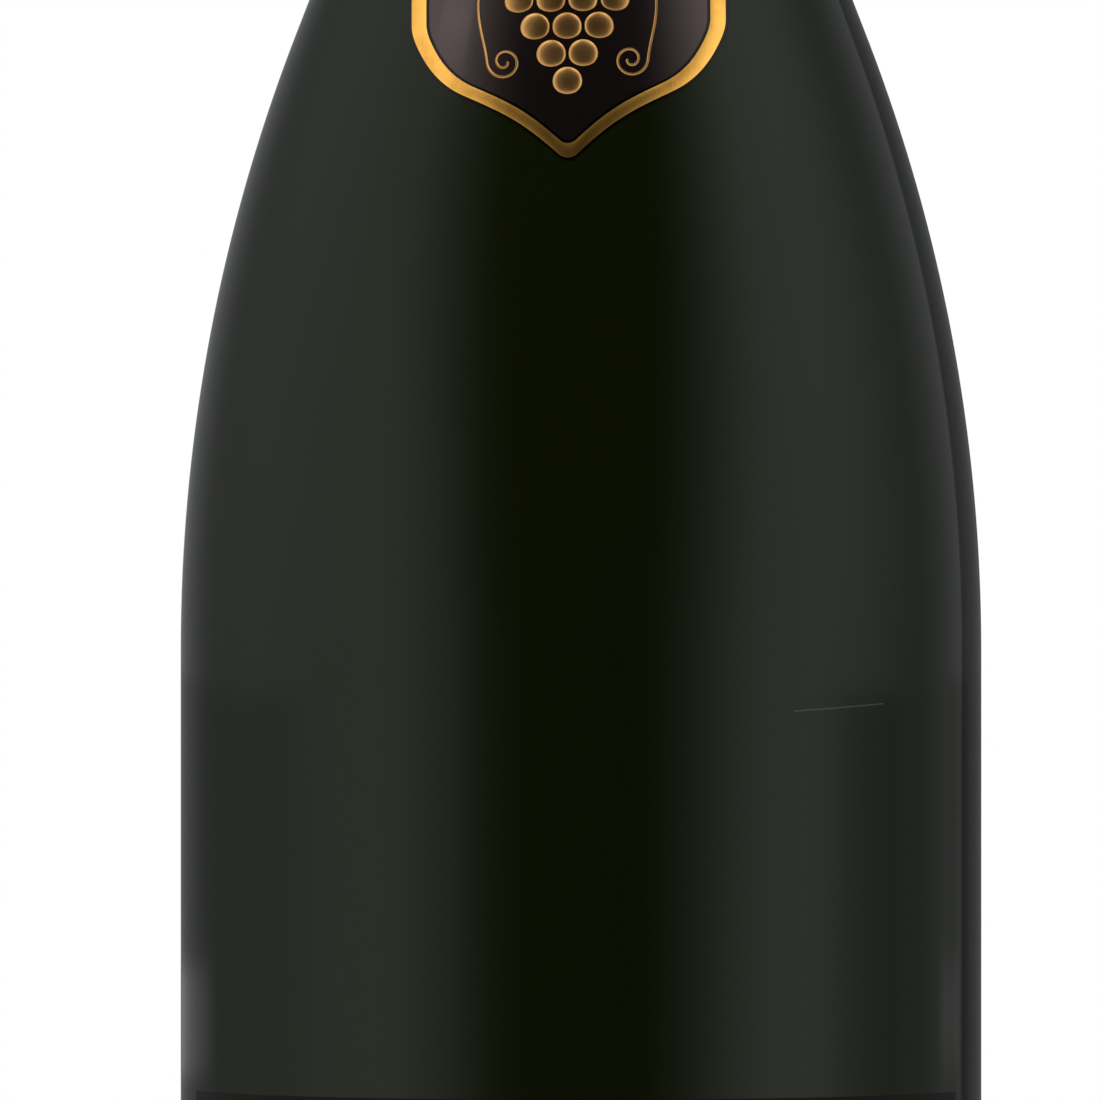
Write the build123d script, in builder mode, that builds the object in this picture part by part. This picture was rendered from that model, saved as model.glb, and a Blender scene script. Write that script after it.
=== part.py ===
from build123d import *
import os
from math import atan, cos, degrees, radians, sin, sqrt

# A sealed 750 ml champagne bottle, standing on its bearing ring.
# Millimetres. Z runs up the bottle's axis from the surface it stands on, and the front faces -Y.

# Glass body
body_diameter = 89.0
body_wall = 4.65
cylinder_height = 108.0
shoulder_height = 157.5
shoulder_arc_share = 0.44
heel_radius = 8.0
bearing_width = 7.5
punt_depth = 33.0
punt_wall = 8.0
punt_lean_share = 0.45
punt_lip_round = 1.5
floor_thickness = 8.0
trough_width = 7.4

# Glass neck and finish, the neck measured from the foot of its straight part up to the mouth
neck_height = 34.5
neck_diameter = 29.2
bore_diameter = 17.7
bore_depth = 27.0
bead_diameter = 28.8
bead_height = 6.0
bead_top_round = 1.7
bead_under_round = 0.9
mouth_round = 0.9
rim_match = 0.05
groove_diameter = 26.4
ring_diameter = 33.0
ring_height = 6.0
ring_depth = 14.5
ring_round = 1.8

# Wine
fill_depth = 65.0
wine_gap = 0.1

# Cork
stopper_depth = 24.0
cork_fit = 0.1
cork_disc_thickness = 5.5
cork_head_height = 13.0
cork_head_diameter = 30.8
cork_seat_diameter = 27.2
cork_belly_share = 0.4
cork_top_round = 2.5

# Plaque, the metal cap between the cage and the cork
sheet_thickness = 0.3
plaque_gap = 0.1
plaque_diameter = 32.2
plaque_rim_round = 1.8
plaque_rim_drop = 1.6
plaque_plateau_diameter = 22.4
plaque_plateau_rise = 1.3
plaque_channel_diameter = 25.0

# Wire cage
cage_wire_diameter = 0.95
crown_ring_diameter = 27.2
leg_diameter = 1.6
leg_gap = 0.1
leg_step_angle = 90.0
leg_top_bend = 2.0
leg_waist_bend = 4.0
leg_hook_bend = 1.2
leg_hook_length = 1.4
leg_hook_tuck = 0.9
wire_gap = 0.08
key_width = 6.4
key_length = 11.0
key_stem_diameter = 1.3
key_stem_bend = 1.0

# Foil
foil_thickness = 0.2
foil_gap = 0.3
foil_side_flare = 0.3
foil_crown_round = 2.6
foil_hem_rise = 94.5
strip_drop = 4.0
strip_height = 6.0
strip_seam = 0.1
gather_height = 19.0
skirt_gap = 0.12
tab_start_angle = 205.0
tab_span_angle = 26.0
tab_gap = 0.15
tab_margin = 0.3

# Labels. Film is the glue layer, stamp is the gold foil pressed on to the paper.
paper_thickness = 0.1
film_thickness = 0.03
stamp_thickness = 0.05

# Neck label, a shield stuck on a little crooked
shield_half_width = 17.55
shield_height = 40.2
shield_hem_gap = 1.2
shield_tilt = 1.2
shield_tip_round = 1.5
shield_ear_drop = 1.6
shield_top_dip_share = 0.955
border_margin = 0.3
border_width = 1.65
shield_upper_shares = ((1.0, 0.394), (0.954, 0.325), (0.855, 0.257), (0.712, 0.205), (0.604, 0.182))
shield_lower_shares = ((0.604, 0.182), (0.319, 0.116), (0.0, 0.0))
shield_joint_slope_share = 0.46
shield_tip_slope_share = 0.95

# Vine ornament, drawn at these sizes and then scaled to a share of each label's height
grape_diameter = 3.3
grape_pitch = 3.5
grape_rise = 3.0
grape_rows = (1, 2, 3, 4, 3)
stalk_width = 0.9
stalk_length = 4.6
leaf_size = 10.4
leaf_reach_share = 0.56
leaf_turn = 28.0
leaf_lobe_shares = (
    (0.00, -0.42), (0.16, -0.50), (0.44, -0.36), (0.34, -0.16), (0.52, 0.06), (0.30, 0.16),
    (0.26, 0.40), (0.10, 0.34), (0.00, 0.56),
)
neck_ornament_share = 0.53
neck_ornament_rise_share = 0.19
body_ornament_share = 0.42
body_ornament_rise_share = 0.24

# Body labels
body_label_bottom = 11.0
body_label_drop = 48.7
body_label_angle = 140.0
back_label_angle = 64.0
frame_inset = 3.0
frame_width = 0.8

# One overrun serves every cut that has to run past what it cuts.
overrun = 5.0

# Derived sizes of the glass
body_radius = body_diameter / 2
neck_radius = neck_diameter / 2
bore_radius = bore_diameter / 2
bead_radius = bead_diameter / 2
groove_radius = groove_diameter / 2
ring_radius = ring_diameter / 2
punt_radius = body_radius - heel_radius - bearing_width
neck_foot_height = cylinder_height + shoulder_height
glass_height = neck_foot_height + neck_height
shoulder_drop = body_radius - neck_radius
shoulder_lean = 2 * atan(shoulder_drop / shoulder_height)
arc_total = shoulder_height / sin(shoulder_lean)
shoulder_radius = arc_total * shoulder_arc_share
sweep_radius = arc_total - shoulder_radius
ring_top = glass_height - ring_depth
ring_bottom = ring_top - ring_height
bore_bottom = glass_height - bore_depth
fill_height = glass_height - fill_depth

# Derived sizes of the closure
stopper_radius = bore_radius - cork_fit
stopper_bottom = glass_height - stopper_depth
disc_joint = stopper_bottom + cork_disc_thickness
cork_body_bottom = disc_joint + cork_disc_thickness
cork_seat = glass_height + cork_fit
cork_top = glass_height + cork_head_height
cork_head_radius = cork_head_diameter / 2
cage_wire_radius = cage_wire_diameter / 2
leg_radius = leg_diameter / 2
plaque_radius = plaque_diameter / 2
channel_under = cork_top + plaque_gap
channel_top = channel_under + sheet_thickness
crown_ring_radius = crown_ring_diameter / 2
crown_ring_height = channel_top + cage_wire_radius
leg_top = channel_top + leg_gap + leg_radius
leg_start = crown_ring_radius + cage_wire_radius + wire_gap
leg_corner = plaque_radius + leg_gap + leg_radius
leg_waist = ring_radius + leg_gap + leg_radius
leg_outside = leg_waist + leg_radius
belt_radius = neck_radius + wire_gap + cage_wire_radius
belt_height = ring_bottom - wire_gap - cage_wire_radius
leg_end_height = belt_height - leg_hook_tuck
leg_end_radius = leg_waist - leg_hook_length

# Derived sizes of the foil
hood_inside_top = leg_top + leg_radius + foil_gap
hood_foot_radius = leg_outside + foil_gap
hood_crown_radius = hood_foot_radius - foil_side_flare
hood_foot = ring_bottom - strip_drop
strip_top = hood_foot - strip_seam
strip_foot = strip_top - strip_height
skirt_top = strip_foot - strip_seam
gather_foot = skirt_top - gather_height
foil_hem_height = cylinder_height + foil_hem_rise
gather_below_neck = max(neck_foot_height - gather_foot, 0)
gather_radius = neck_radius + sweep_radius - sqrt(sweep_radius**2 - gather_below_neck**2)

# Derived sizes of the labels
shield_tip_height = foil_hem_height - shield_hem_gap - shield_height
body_label_top = cylinder_height - body_label_drop
body_label_height = body_label_top - body_label_bottom
vine_height = grape_diameter / 2 + grape_rise * len(grape_rows) + stalk_length
paper_inside = film_thickness
paper_outside = paper_inside + paper_thickness
stamp_inside = paper_outside + film_thickness
stamp_outside = stamp_inside + stamp_thickness
front_angle = -90.0
back_angle = 90.0


# Half of the bottle's outside, from the base centre up to the neck, grown outward by growth
def outside_face(growth):
    lean_out = shoulder_radius + growth
    lean_in = sweep_radius - growth
    half_lean = shoulder_lean / 2
    radius = body_radius + growth
    neck = neck_radius + growth
    shoulder_centre = body_radius - shoulder_radius
    sweep_centre = neck_radius + sweep_radius
    with BuildSketch() as face:
        with BuildLine():
            Line((0, 0), (radius, 0))
            Line((radius, 0), (radius, cylinder_height))
            shoulder = ThreePointArc(
                (radius, cylinder_height),
                (shoulder_centre + lean_out * cos(half_lean), cylinder_height + lean_out * sin(half_lean)),
                (
                    shoulder_centre + lean_out * cos(shoulder_lean),
                    cylinder_height + lean_out * sin(shoulder_lean),
                ),
            )
            ThreePointArc(
                shoulder @ 1,
                (sweep_centre - lean_in * cos(half_lean), neck_foot_height - lean_in * sin(half_lean)),
                (neck, neck_foot_height),
            )
            Line((neck, neck_foot_height), (neck, ring_bottom))
            Line((neck, ring_bottom), (0, ring_bottom))
            Line((0, ring_bottom), (0, 0))
        make_face()
    return face.sketch


# Half of the bottle's inside below a given height, kept inset from the glass
def cavity_face(inset, top):
    wall = body_wall + inset
    half_lean = shoulder_lean / 2
    shoulder_inner = shoulder_radius - wall
    sweep_inner = sweep_radius + wall
    shoulder_centre = body_radius - shoulder_radius
    sweep_centre = neck_radius + sweep_radius
    side = body_radius - wall
    trough = trough_width / 2 - inset
    trough_height = floor_thickness + trough_width / 2
    bore = bore_radius - inset
    with BuildSketch() as face:
        with BuildLine():
            Spline(
                (0, punt_depth + punt_wall + inset),
                (side - 2 * trough, trough_height),
                tangents=[(1, 0), (0, -1)],
            )
            ThreePointArc(
                (side - 2 * trough, trough_height),
                (side - trough, trough_height - trough),
                (side, trough_height),
            )
            wall_line = Line((side, trough_height), (side, cylinder_height))
            shoulder = ThreePointArc(
                wall_line @ 1,
                (
                    shoulder_centre + shoulder_inner * cos(half_lean),
                    cylinder_height + shoulder_inner * sin(half_lean),
                ),
                (
                    shoulder_centre + shoulder_inner * cos(shoulder_lean),
                    cylinder_height + shoulder_inner * sin(shoulder_lean),
                ),
            )
            sweep = ThreePointArc(
                shoulder @ 1,
                (
                    sweep_centre - sweep_inner * cos(half_lean),
                    neck_foot_height - sweep_inner * sin(half_lean),
                ),
                (neck_radius - wall, neck_foot_height),
            )
            Line(sweep @ 1, (bore, bore_bottom))
            Line((bore, bore_bottom), (bore, glass_height + overrun))
            Line((bore, glass_height + overrun), (0, glass_height + overrun))
            Line((0, glass_height + overrun), (0, punt_depth + punt_wall + inset))
        make_face()
        with Locations((0, top)):
            Rectangle(
                body_radius,
                glass_height,
                align=(Align.MIN, Align.MIN),
                mode=Mode.SUBTRACT,
            )
    return face.sketch


# A shell of paper or foil that follows the glass, between two growths
def shell_part(inner, outer):
    with BuildPart() as shell:
        with BuildSketch(Plane.XZ):
            add(outside_face(outer))
        revolve(axis=Axis.Z)
        with BuildSketch(Plane.XZ):
            add(outside_face(inner))
        revolve(axis=Axis.Z, mode=Mode.SUBTRACT)
    return shell.part


# Outline of the shield label, tip at the origin and Y up, before it is tilted.
# The inset draws it in towards the point that lies as far from the tip as from the sides.
def shield_face(inset):
    draw_in = 1 - inset / shield_half_width

    def inset_point(across, up):
        return (across * draw_in, shield_half_width + (up - shield_half_width) * draw_in)

    upper = [
        inset_point(shield_half_width * across, shield_height * up) for across, up in shield_upper_shares
    ]
    lower = [
        inset_point(shield_half_width * across, shield_height * up) for across, up in shield_lower_shares
    ]
    ear = inset_point(shield_half_width, shield_height - shield_ear_drop)
    dip = inset_point(shield_half_width / 2, shield_height * shield_top_dip_share)
    peak = inset_point(0, shield_height)
    joint_slope = (-1, -shield_joint_slope_share)
    with BuildSketch() as face:
        with BuildLine():
            Spline(*lower, tangents=[joint_slope, (-1, -shield_tip_slope_share)])
            Spline(*upper, tangents=[(0, -1), joint_slope])
            Line(upper[0], ear)
            ThreePointArc(ear, dip, peak)
            mirror(about=Plane.YZ)
        make_face()
        fillet(face.vertices().group_by(Axis.Y)[0], shield_tip_round * draw_in)
    return face.sketch


# Bunch of grapes with a stalk and two vine leaves, lowest grape resting on the origin
def vine_face(scale_by):
    bunch_top = grape_diameter / 2 + grape_rise * len(grape_rows)
    leaf_half = [(leaf_size * across, leaf_size * up) for across, up in leaf_lobe_shares]
    with BuildSketch() as leaf:
        with BuildLine():
            Polyline(leaf_half)
            Line(leaf_half[-1], leaf_half[0])
        make_face()
        mirror(about=Plane.YZ)
    with BuildSketch() as face:
        for row, count in enumerate(grape_rows):
            with Locations((0, grape_diameter / 2 + row * grape_rise)):
                with GridLocations(grape_pitch, grape_pitch, count, 1):
                    Circle(grape_diameter / 2)
        with Locations((0, bunch_top)):
            Rectangle(stalk_width, stalk_length, align=(Align.CENTER, Align.MIN))
        for side in (-1, 1):
            reach = side * leaf_size * leaf_reach_share
            with Locations(Location((reach, bunch_top + leaf_size / 2, 0), (0, 0, -side * leaf_turn))):
                add(leaf.sketch)
        scale(by=scale_by)
    return face.sketch


# A band of sheet on the cylinder of the body, centred on an angle about Z
def band_part(inner, outer, bottom, top, span, middle):
    with BuildPart() as band:
        with BuildSketch(Plane.XZ.rotated((0, 0, middle - span / 2))):
            with Locations((body_radius + (inner + outer) / 2, (bottom + top) / 2)):
                Rectangle(outer - inner, top - bottom)
        revolve(axis=Axis.Z, revolution_arc=span)
    return band.part


def save(part, name):
    part.label = name
    export_step(part, f"parts/{name}.step")


os.makedirs("parts", exist_ok=True)

# Glass bottle
with BuildPart() as glass_bottle:
    with BuildSketch(Plane.XZ):
        add(outside_face(0))
        with Locations((0, ring_bottom)):
            Rectangle(ring_radius, ring_height, align=(Align.MIN, Align.MIN))
        with Locations((0, ring_top)):
            Rectangle(groove_radius, ring_depth, align=(Align.MIN, Align.MIN))
        with Locations((0, glass_height)):
            Rectangle(bead_radius, bead_height, align=(Align.MIN, Align.MAX))
        with BuildLine():
            punt = Spline(
                (punt_radius, 0),
                (0, punt_depth),
                tangents=[(-punt_lean_share, 1), (-1, 0)],
            )
            Line(punt @ 1, (0, 0))
            Line((0, 0), punt @ 0)
        make_face(mode=Mode.SUBTRACT)
    revolve(axis=Axis.Z)
    with BuildSketch(Plane.XZ):
        add(cavity_face(0, glass_height + overrun))
    revolve(axis=Axis.Z, mode=Mode.SUBTRACT)
    rims = glass_bottle.edges().filter_by(GeomType.CIRCLE)
    fillet(rims.filter_by(lambda rim: abs(rim.radius - ring_radius) < rim_match), ring_round)
    rims = glass_bottle.edges().filter_by(GeomType.CIRCLE)
    bead_rims = rims.filter_by(lambda rim: abs(rim.radius - bead_radius) < rim_match).sort_by(Axis.Z)
    fillet(bead_rims[-1], bead_top_round)
    rims = glass_bottle.edges().filter_by(GeomType.CIRCLE)
    bead_rims = rims.filter_by(lambda rim: abs(rim.radius - bead_radius) < rim_match).sort_by(Axis.Z)
    fillet(bead_rims[0], bead_under_round)
    rims = glass_bottle.edges().filter_by(GeomType.CIRCLE)
    fillet(rims.group_by(Axis.Z)[-1].sort_by(SortBy.RADIUS)[0], mouth_round)
    rims = glass_bottle.edges().filter_by(GeomType.CIRCLE).group_by(Axis.Z)[0].sort_by(SortBy.RADIUS)
    fillet(rims[-1], heel_radius)
    rims = glass_bottle.edges().filter_by(GeomType.CIRCLE).group_by(Axis.Z)[0].sort_by(SortBy.RADIUS)
    fillet(rims[0], punt_lip_round)
save(glass_bottle.part, "glass_bottle")

# Wine, filling the glass up to its level in the neck
with BuildPart() as wine:
    with BuildSketch(Plane.XZ):
        add(cavity_face(wine_gap, fill_height))
    revolve(axis=Axis.Z)
save(wine.part, "wine")

# Cork: a body of pressed granules with two discs of whole cork glued to its wine end
with BuildPart() as cork_body:
    belly_height = cork_seat + (cork_top - cork_seat) * cork_belly_share
    with BuildSketch(Plane.XZ):
        with Locations((0, cork_body_bottom)):
            Rectangle(stopper_radius, cork_seat - cork_body_bottom, align=(Align.MIN, Align.MIN))
        with BuildLine():
            Line((0, cork_seat), (cork_seat_diameter / 2, cork_seat))
            Spline(
                (cork_seat_diameter / 2, cork_seat),
                (cork_head_radius, belly_height),
                tangents=[(1, 1), (0, 1)],
            )
            Line((cork_head_radius, belly_height), (cork_head_radius, cork_top))
            Line((cork_head_radius, cork_top), (0, cork_top))
            Line((0, cork_top), (0, cork_seat))
        make_face()
    revolve(axis=Axis.Z)
    rims = cork_body.edges().filter_by(GeomType.CIRCLE).group_by(Axis.Z)[-1]
    fillet(rims, cork_top_round)
save(cork_body.part, "cork_body")

cork_discs = (("cork_disc_upper", disc_joint), ("cork_disc_lower", stopper_bottom))
for disc_name, disc_bottom in cork_discs:
    with BuildPart(Plane.XY.offset(disc_bottom)) as cork_disc:
        Cylinder(
            stopper_radius,
            cork_disc_thickness,
            align=(Align.CENTER, Align.CENTER, Align.MIN),
        )
    save(cork_disc.part, disc_name)

# Plaque: pressed tinplate with a raised middle, a channel for the crown ring and a turned-down rim
with BuildPart() as plaque:
    plateau_top = channel_top + plaque_plateau_rise
    with BuildSketch(Plane.XZ):
        with BuildLine():
            upper_side = FilletPolyline(
                (0, plateau_top),
                (plaque_plateau_diameter / 2, plateau_top),
                (plaque_channel_diameter / 2, channel_top),
                (plaque_radius, channel_top),
                (plaque_radius, channel_top - plaque_rim_round - plaque_rim_drop),
                radius=[sheet_thickness, sheet_thickness, plaque_rim_round],
            )
            offset(
                upper_side.edges(),
                amount=sheet_thickness,
                side=Side.RIGHT,
                closed=True,
            )
        make_face()
    revolve(axis=Axis.Z)
save(plaque.part, "plaque")

# Crown ring of the wire cage, lying in the plaque's channel
with BuildPart(Plane.XY.offset(crown_ring_height)) as cage_crown_ring:
    Torus(crown_ring_radius, cage_wire_radius)
save(cage_crown_ring.part, "cage_crown_ring")

# Four twisted legs, over the rim, down past the glass ring and in under it
leg_names = ("cage_leg_front_right", "cage_leg_back_right", "cage_leg_back_left", "cage_leg_front_left")
for leg_index, leg_name in enumerate(leg_names):
    leg_angle = front_angle + leg_step_angle * (leg_index + 1 / 2)
    outward = (cos(radians(leg_angle)), sin(radians(leg_angle)), 0)
    sideways = (sin(radians(leg_angle)), -cos(radians(leg_angle)), 0)
    leg_plane = Plane(origin=(0, 0, 0), x_dir=outward, z_dir=sideways)
    with BuildPart() as cage_leg:
        with BuildLine(leg_plane) as leg_path:
            FilletPolyline(
                (leg_start, leg_top),
                (leg_corner, leg_top),
                (leg_waist, ring_top),
                (leg_waist, ring_bottom),
                (leg_end_radius, leg_end_height),
                radius=[leg_top_bend, leg_waist_bend, leg_hook_bend],
            )
        with BuildSketch(leg_path.line ^ 0):
            Circle(leg_radius)
        sweep()
    save(cage_leg.part, leg_name)

# Belt wire under the glass ring, with its twisted stem and the loop that is turned by hand
with BuildPart() as cage_belt_wire:
    key_radius = ring_radius + 2 * wire_gap + cage_wire_radius
    stem_height = belt_height + cage_wire_radius - key_stem_diameter / 2
    key_foot = stem_height + key_stem_bend
    with BuildPart(Plane.XY.offset(belt_height), mode=Mode.PRIVATE) as belt:
        Torus(belt_radius, cage_wire_radius)
    add(belt.part)
    with BuildLine(Plane.YZ) as stem_path:
        FilletPolyline(
            (-belt_radius, stem_height),
            (-key_radius, stem_height),
            (-key_radius, key_foot + wire_gap),
            radius=key_stem_bend,
        )
    with BuildSketch(stem_path.line ^ 0):
        Circle(key_stem_diameter / 2)
    sweep()
    key_plane = Plane.XZ.offset(key_radius)
    with BuildLine(key_plane) as loop_path:
        left = Line((-key_width / 2, key_foot + key_width / 2), (-key_width / 2, key_foot + key_length))
        crown = RadiusArc(left @ 1, (key_width / 2, key_foot + key_length), key_width / 2)
        right = Line(crown @ 1, (key_width / 2, key_foot + key_width / 2))
        RadiusArc(right @ 1, left @ 0, key_width / 2)
    with BuildSketch(loop_path.line ^ 0):
        Circle(cage_wire_radius)
    sweep()
save(cage_belt_wire.part, "cage_belt_wire")

# Foil hood over the cork and the cage, no narrower below than above so that it lifts off
with BuildPart() as foil_hood:
    with BuildSketch(Plane.XZ):
        with BuildLine():
            hood_inside = FilletPolyline(
                (0, hood_inside_top),
                (hood_crown_radius, hood_inside_top),
                (hood_foot_radius, hood_foot),
                radius=[foil_crown_round],
            )
            offset(
                hood_inside.edges(),
                amount=foil_thickness,
                side=Side.LEFT,
                closed=True,
            )
        make_face()
    revolve(axis=Axis.Z)
save(foil_hood.part, "foil_hood")

# Tear strip between the hood and the skirt, and the tab that starts the tear
strip_outside = hood_foot_radius + foil_thickness
with BuildPart() as foil_tear_strip:
    with BuildSketch(Plane.XY.offset(strip_foot)):
        Circle(strip_outside)
        Circle(hood_foot_radius, mode=Mode.SUBTRACT)
    extrude(amount=strip_height)
save(foil_tear_strip.part, "foil_tear_strip")

tab_inside = strip_outside + tab_gap
with BuildPart() as foil_tear_tab:
    with BuildSketch(Plane.XZ.rotated((0, 0, tab_start_angle))):
        with Locations((tab_inside + foil_thickness / 2, (strip_foot + strip_top) / 2)):
            Rectangle(foil_thickness, strip_height - 2 * tab_margin)
    revolve(axis=Axis.Z, revolution_arc=tab_span_angle)
save(foil_tear_tab.part, "foil_tear_tab")

# Foil skirt, gathered from the strip in to the neck and down to its hem on the shoulder
with BuildPart() as foil_skirt:
    add(shell_part(skirt_gap, skirt_gap + foil_thickness))
    with Locations((0, 0, foil_hem_height)):
        Box(
            body_diameter + overrun,
            body_diameter + overrun,
            gather_foot - foil_hem_height,
            align=(Align.CENTER, Align.CENTER, Align.MIN),
            mode=Mode.INTERSECT,
        )
    with BuildSketch(Plane.XZ):
        with BuildLine():
            gather_low = (gather_radius + skirt_gap, gather_foot)
            gather_high = (hood_foot_radius, skirt_top)
            inner_side = Spline(gather_low, gather_high, tangents=[(0, 1), (0, 1)])
            outer_side = Spline(
                (gather_low[0] + foil_thickness, gather_foot),
                (strip_outside, skirt_top),
                tangents=[(0, 1), (0, 1)],
            )
            Line(inner_side @ 0, outer_side @ 0)
            Line(inner_side @ 1, outer_side @ 1)
        make_face()
    revolve(axis=Axis.Z)
save(foil_skirt.part, "foil_skirt")

# Neck label: the paper, its gold border and the gold vine ornament
paper_shell = shell_part(paper_inside, paper_outside)
stamp_shell = shell_part(stamp_inside, stamp_outside)
shield_plane = Plane(origin=(0, 0, shield_tip_height), x_dir=(1, 0, 0), z_dir=(0, -1, 0))
shield_plane = shield_plane.rotated((0, 0, -shield_tilt))
with BuildPart() as neck_label:
    add(paper_shell)
    with BuildSketch(shield_plane):
        add(shield_face(0))
    extrude(amount=body_radius + overrun, mode=Mode.INTERSECT)
save(neck_label.part, "neck_label")

with BuildPart() as neck_label_border:
    add(stamp_shell)
    with BuildSketch(shield_plane):
        add(shield_face(border_margin))
    extrude(amount=body_radius + overrun, mode=Mode.INTERSECT)
    with BuildSketch(shield_plane):
        add(shield_face(border_margin + border_width))
    extrude(amount=body_radius + overrun, mode=Mode.SUBTRACT)
save(neck_label_border.part, "neck_label_border")

with BuildPart() as neck_label_vine:
    add(stamp_shell)
    with BuildSketch(shield_plane):
        with Locations((0, shield_height * neck_ornament_rise_share)):
            add(vine_face(shield_height * neck_ornament_share / vine_height))
    extrude(amount=body_radius + overrun, mode=Mode.INTERSECT)
save(neck_label_vine.part, "neck_label_vine")

# Body label with its gold frame and ornament, and a plain label at the back
with BuildPart() as body_label:
    add(
        band_part(
            paper_inside, paper_outside, body_label_bottom, body_label_top, body_label_angle, front_angle
        )
    )
save(body_label.part, "body_label")

with BuildPart() as back_label:
    add(
        band_part(
            paper_inside, paper_outside, body_label_bottom, body_label_top, back_label_angle, back_angle
        )
    )
save(back_label.part, "back_label")

inset_angle = degrees(frame_inset / body_radius)
line_angle = degrees(frame_width / body_radius)
frame_span = body_label_angle - 2 * inset_angle
frame_low = body_label_bottom + frame_inset
frame_high = body_label_top - frame_inset
with BuildPart() as body_label_frame:
    for bottom in (frame_low, frame_high - frame_width):
        add(band_part(stamp_inside, stamp_outside, bottom, bottom + frame_width, frame_span, front_angle))
    for side in (-1, 1):
        line_middle = front_angle + side * (frame_span - line_angle) / 2
        add(band_part(stamp_inside, stamp_outside, frame_low, frame_high, line_angle, line_middle))
save(body_label_frame.part, "body_label_frame")

with BuildPart() as body_label_vine:
    add(stamp_shell)
    with BuildSketch(Plane.XZ):
        with Locations((0, body_label_bottom + body_label_height * body_ornament_rise_share)):
            add(vine_face(body_label_height * body_ornament_share / vine_height))
    extrude(amount=body_radius + overrun, mode=Mode.INTERSECT)
save(body_label_vine.part, "body_label_vine")

print(f"wine {wine.part.volume / 1000:.1f} ml, glass {glass_bottle.part.volume / 1000:.1f} cm3")
print(f"shoulder lean {degrees(shoulder_lean):.2f} degrees, shoulder radius {shoulder_radius:.1f} mm")
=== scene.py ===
"""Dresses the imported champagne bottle: moulded glass, stopper, wire cage, foil and labels, in a soft studio.

Shapes are worked out in millimetres in the row frame and turned to metres when a piece is finished.
"""

import logging
from collections.abc import Callable, Sequence
from dataclasses import dataclass, field, fields
from enum import Enum
from math import atan, cos, degrees, pi, radians, sin, tan

import bmesh
import bpy
import numpy as np
from bpy.types import Material, Mesh, Node, NodeOutputs, NodeSocket, NodeTree
from mathutils import Matrix, Vector


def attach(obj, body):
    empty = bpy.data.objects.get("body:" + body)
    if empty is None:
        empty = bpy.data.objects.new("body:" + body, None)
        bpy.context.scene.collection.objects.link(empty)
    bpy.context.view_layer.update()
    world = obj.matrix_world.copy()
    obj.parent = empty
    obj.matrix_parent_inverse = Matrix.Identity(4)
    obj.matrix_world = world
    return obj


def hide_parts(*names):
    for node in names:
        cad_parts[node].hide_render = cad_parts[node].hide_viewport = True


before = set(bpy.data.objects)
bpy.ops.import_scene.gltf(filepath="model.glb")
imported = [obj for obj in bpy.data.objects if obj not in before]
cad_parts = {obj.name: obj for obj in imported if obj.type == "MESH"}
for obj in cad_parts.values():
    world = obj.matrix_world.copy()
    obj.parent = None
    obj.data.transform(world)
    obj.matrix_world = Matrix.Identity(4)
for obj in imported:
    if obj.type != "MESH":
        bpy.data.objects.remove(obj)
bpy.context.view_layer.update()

LOG = logging.getLogger("champagne_bottle")
MM = 0.001
SEED = 4
WELD = 1e-4
# A pitch so long that a single strand isn't turned.
UNTWISTED = 1e6
# Types of node that are used often.
COORDS, MATH, RANGE = "ShaderNodeTexCoord", "ShaderNodeMath", "ShaderNodeMapRange"
MIX, NOISE = "ShaderNodeMix", "ShaderNodeTexNoise"
# Numbers of a Mix node's two colours and of its mixed colour.
MIX_A, MIX_B, MIX_OUT = 6, 7, 2
WHITE = (1.0, 1.0, 1.0, 1.0)
# Distances from the glass of a label's underside and top, and of its gold's underside and edge.
PAPER_LOW, PAPER_TOP, GOLD_LOW, GOLD_EDGE = 0.03, 0.13, 0.14, 0.18

Point = tuple[float, float]
Corner = tuple[float, float, float]
Place = Callable[[np.ndarray, np.ndarray, np.ndarray | float], np.ndarray]


class Body(Enum):
    """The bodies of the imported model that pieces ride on."""

    BOTTLE = "bottle"
    STRIP = "tear_strip"
    TAB = "tear_tab"
    CORK = "cork"
    CAGE = "wire_cage"
    CAP = "foil_cap"


class Slot(Enum):
    """The record's material slots."""

    GLASS = "bottle_glass"
    GRANULES = "agglomerated_cork"
    DISC = "natural_cork"
    PLATE = "lacquered_tinplate"
    WIRE = "galvanised_wire"
    FOIL = "capsule_foil"
    STRIP = "strip_foil"
    PAPER = "label_paper"
    GOLD = "stamped_gold"


class Side(Enum):
    """Left and right of the camera, as the sign of the azimuth."""

    LEFT = -1.0
    RIGHT = 1.0


# Helpers


def srgb(code: str) -> tuple[float, float, float, float]:
    """Turns an sRGB hex colour to linear light.

    Args:
        code: The colour, a hash sign and six digits.

    Returns:
        Red, green, blue and an alpha of 1.
    """
    parts = [int(code[i : i + 2], 16) / 255 for i in (1, 3, 5)]
    linear = [p / 12.92 if p <= 0.04045 else ((p + 0.055) / 1.055) ** 2.4 for p in parts]
    return (linear[0], linear[1], linear[2], 1.0)


def per_metre(size: float) -> float:
    """Texture scale at which one cell of a pattern is size millimetres."""
    return 1 / (size * MM)


def add_node(tree: NodeTree, kind: str, inputs: dict | None = None, **settings: object) -> Node:
    """Adds a node with its settings, values and links.

    Args:
        tree: The tree that gets the node.
        kind: The node's type name.
        inputs: Socket name or index to a value, a socket, or a node whose first output is meant.
        settings: Properties of the node itself.

    Returns:
        The new node.
    """
    node = tree.nodes.new(kind)
    for name, setting in settings.items():
        setattr(node, name, setting)
    for key, value in (inputs or {}).items():
        if isinstance(value, Node):
            value = value.outputs[0]
        if isinstance(value, NodeSocket):
            tree.links.new(value, node.inputs[key])
        else:
            node.inputs[key].default_value = value
    return node


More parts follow.
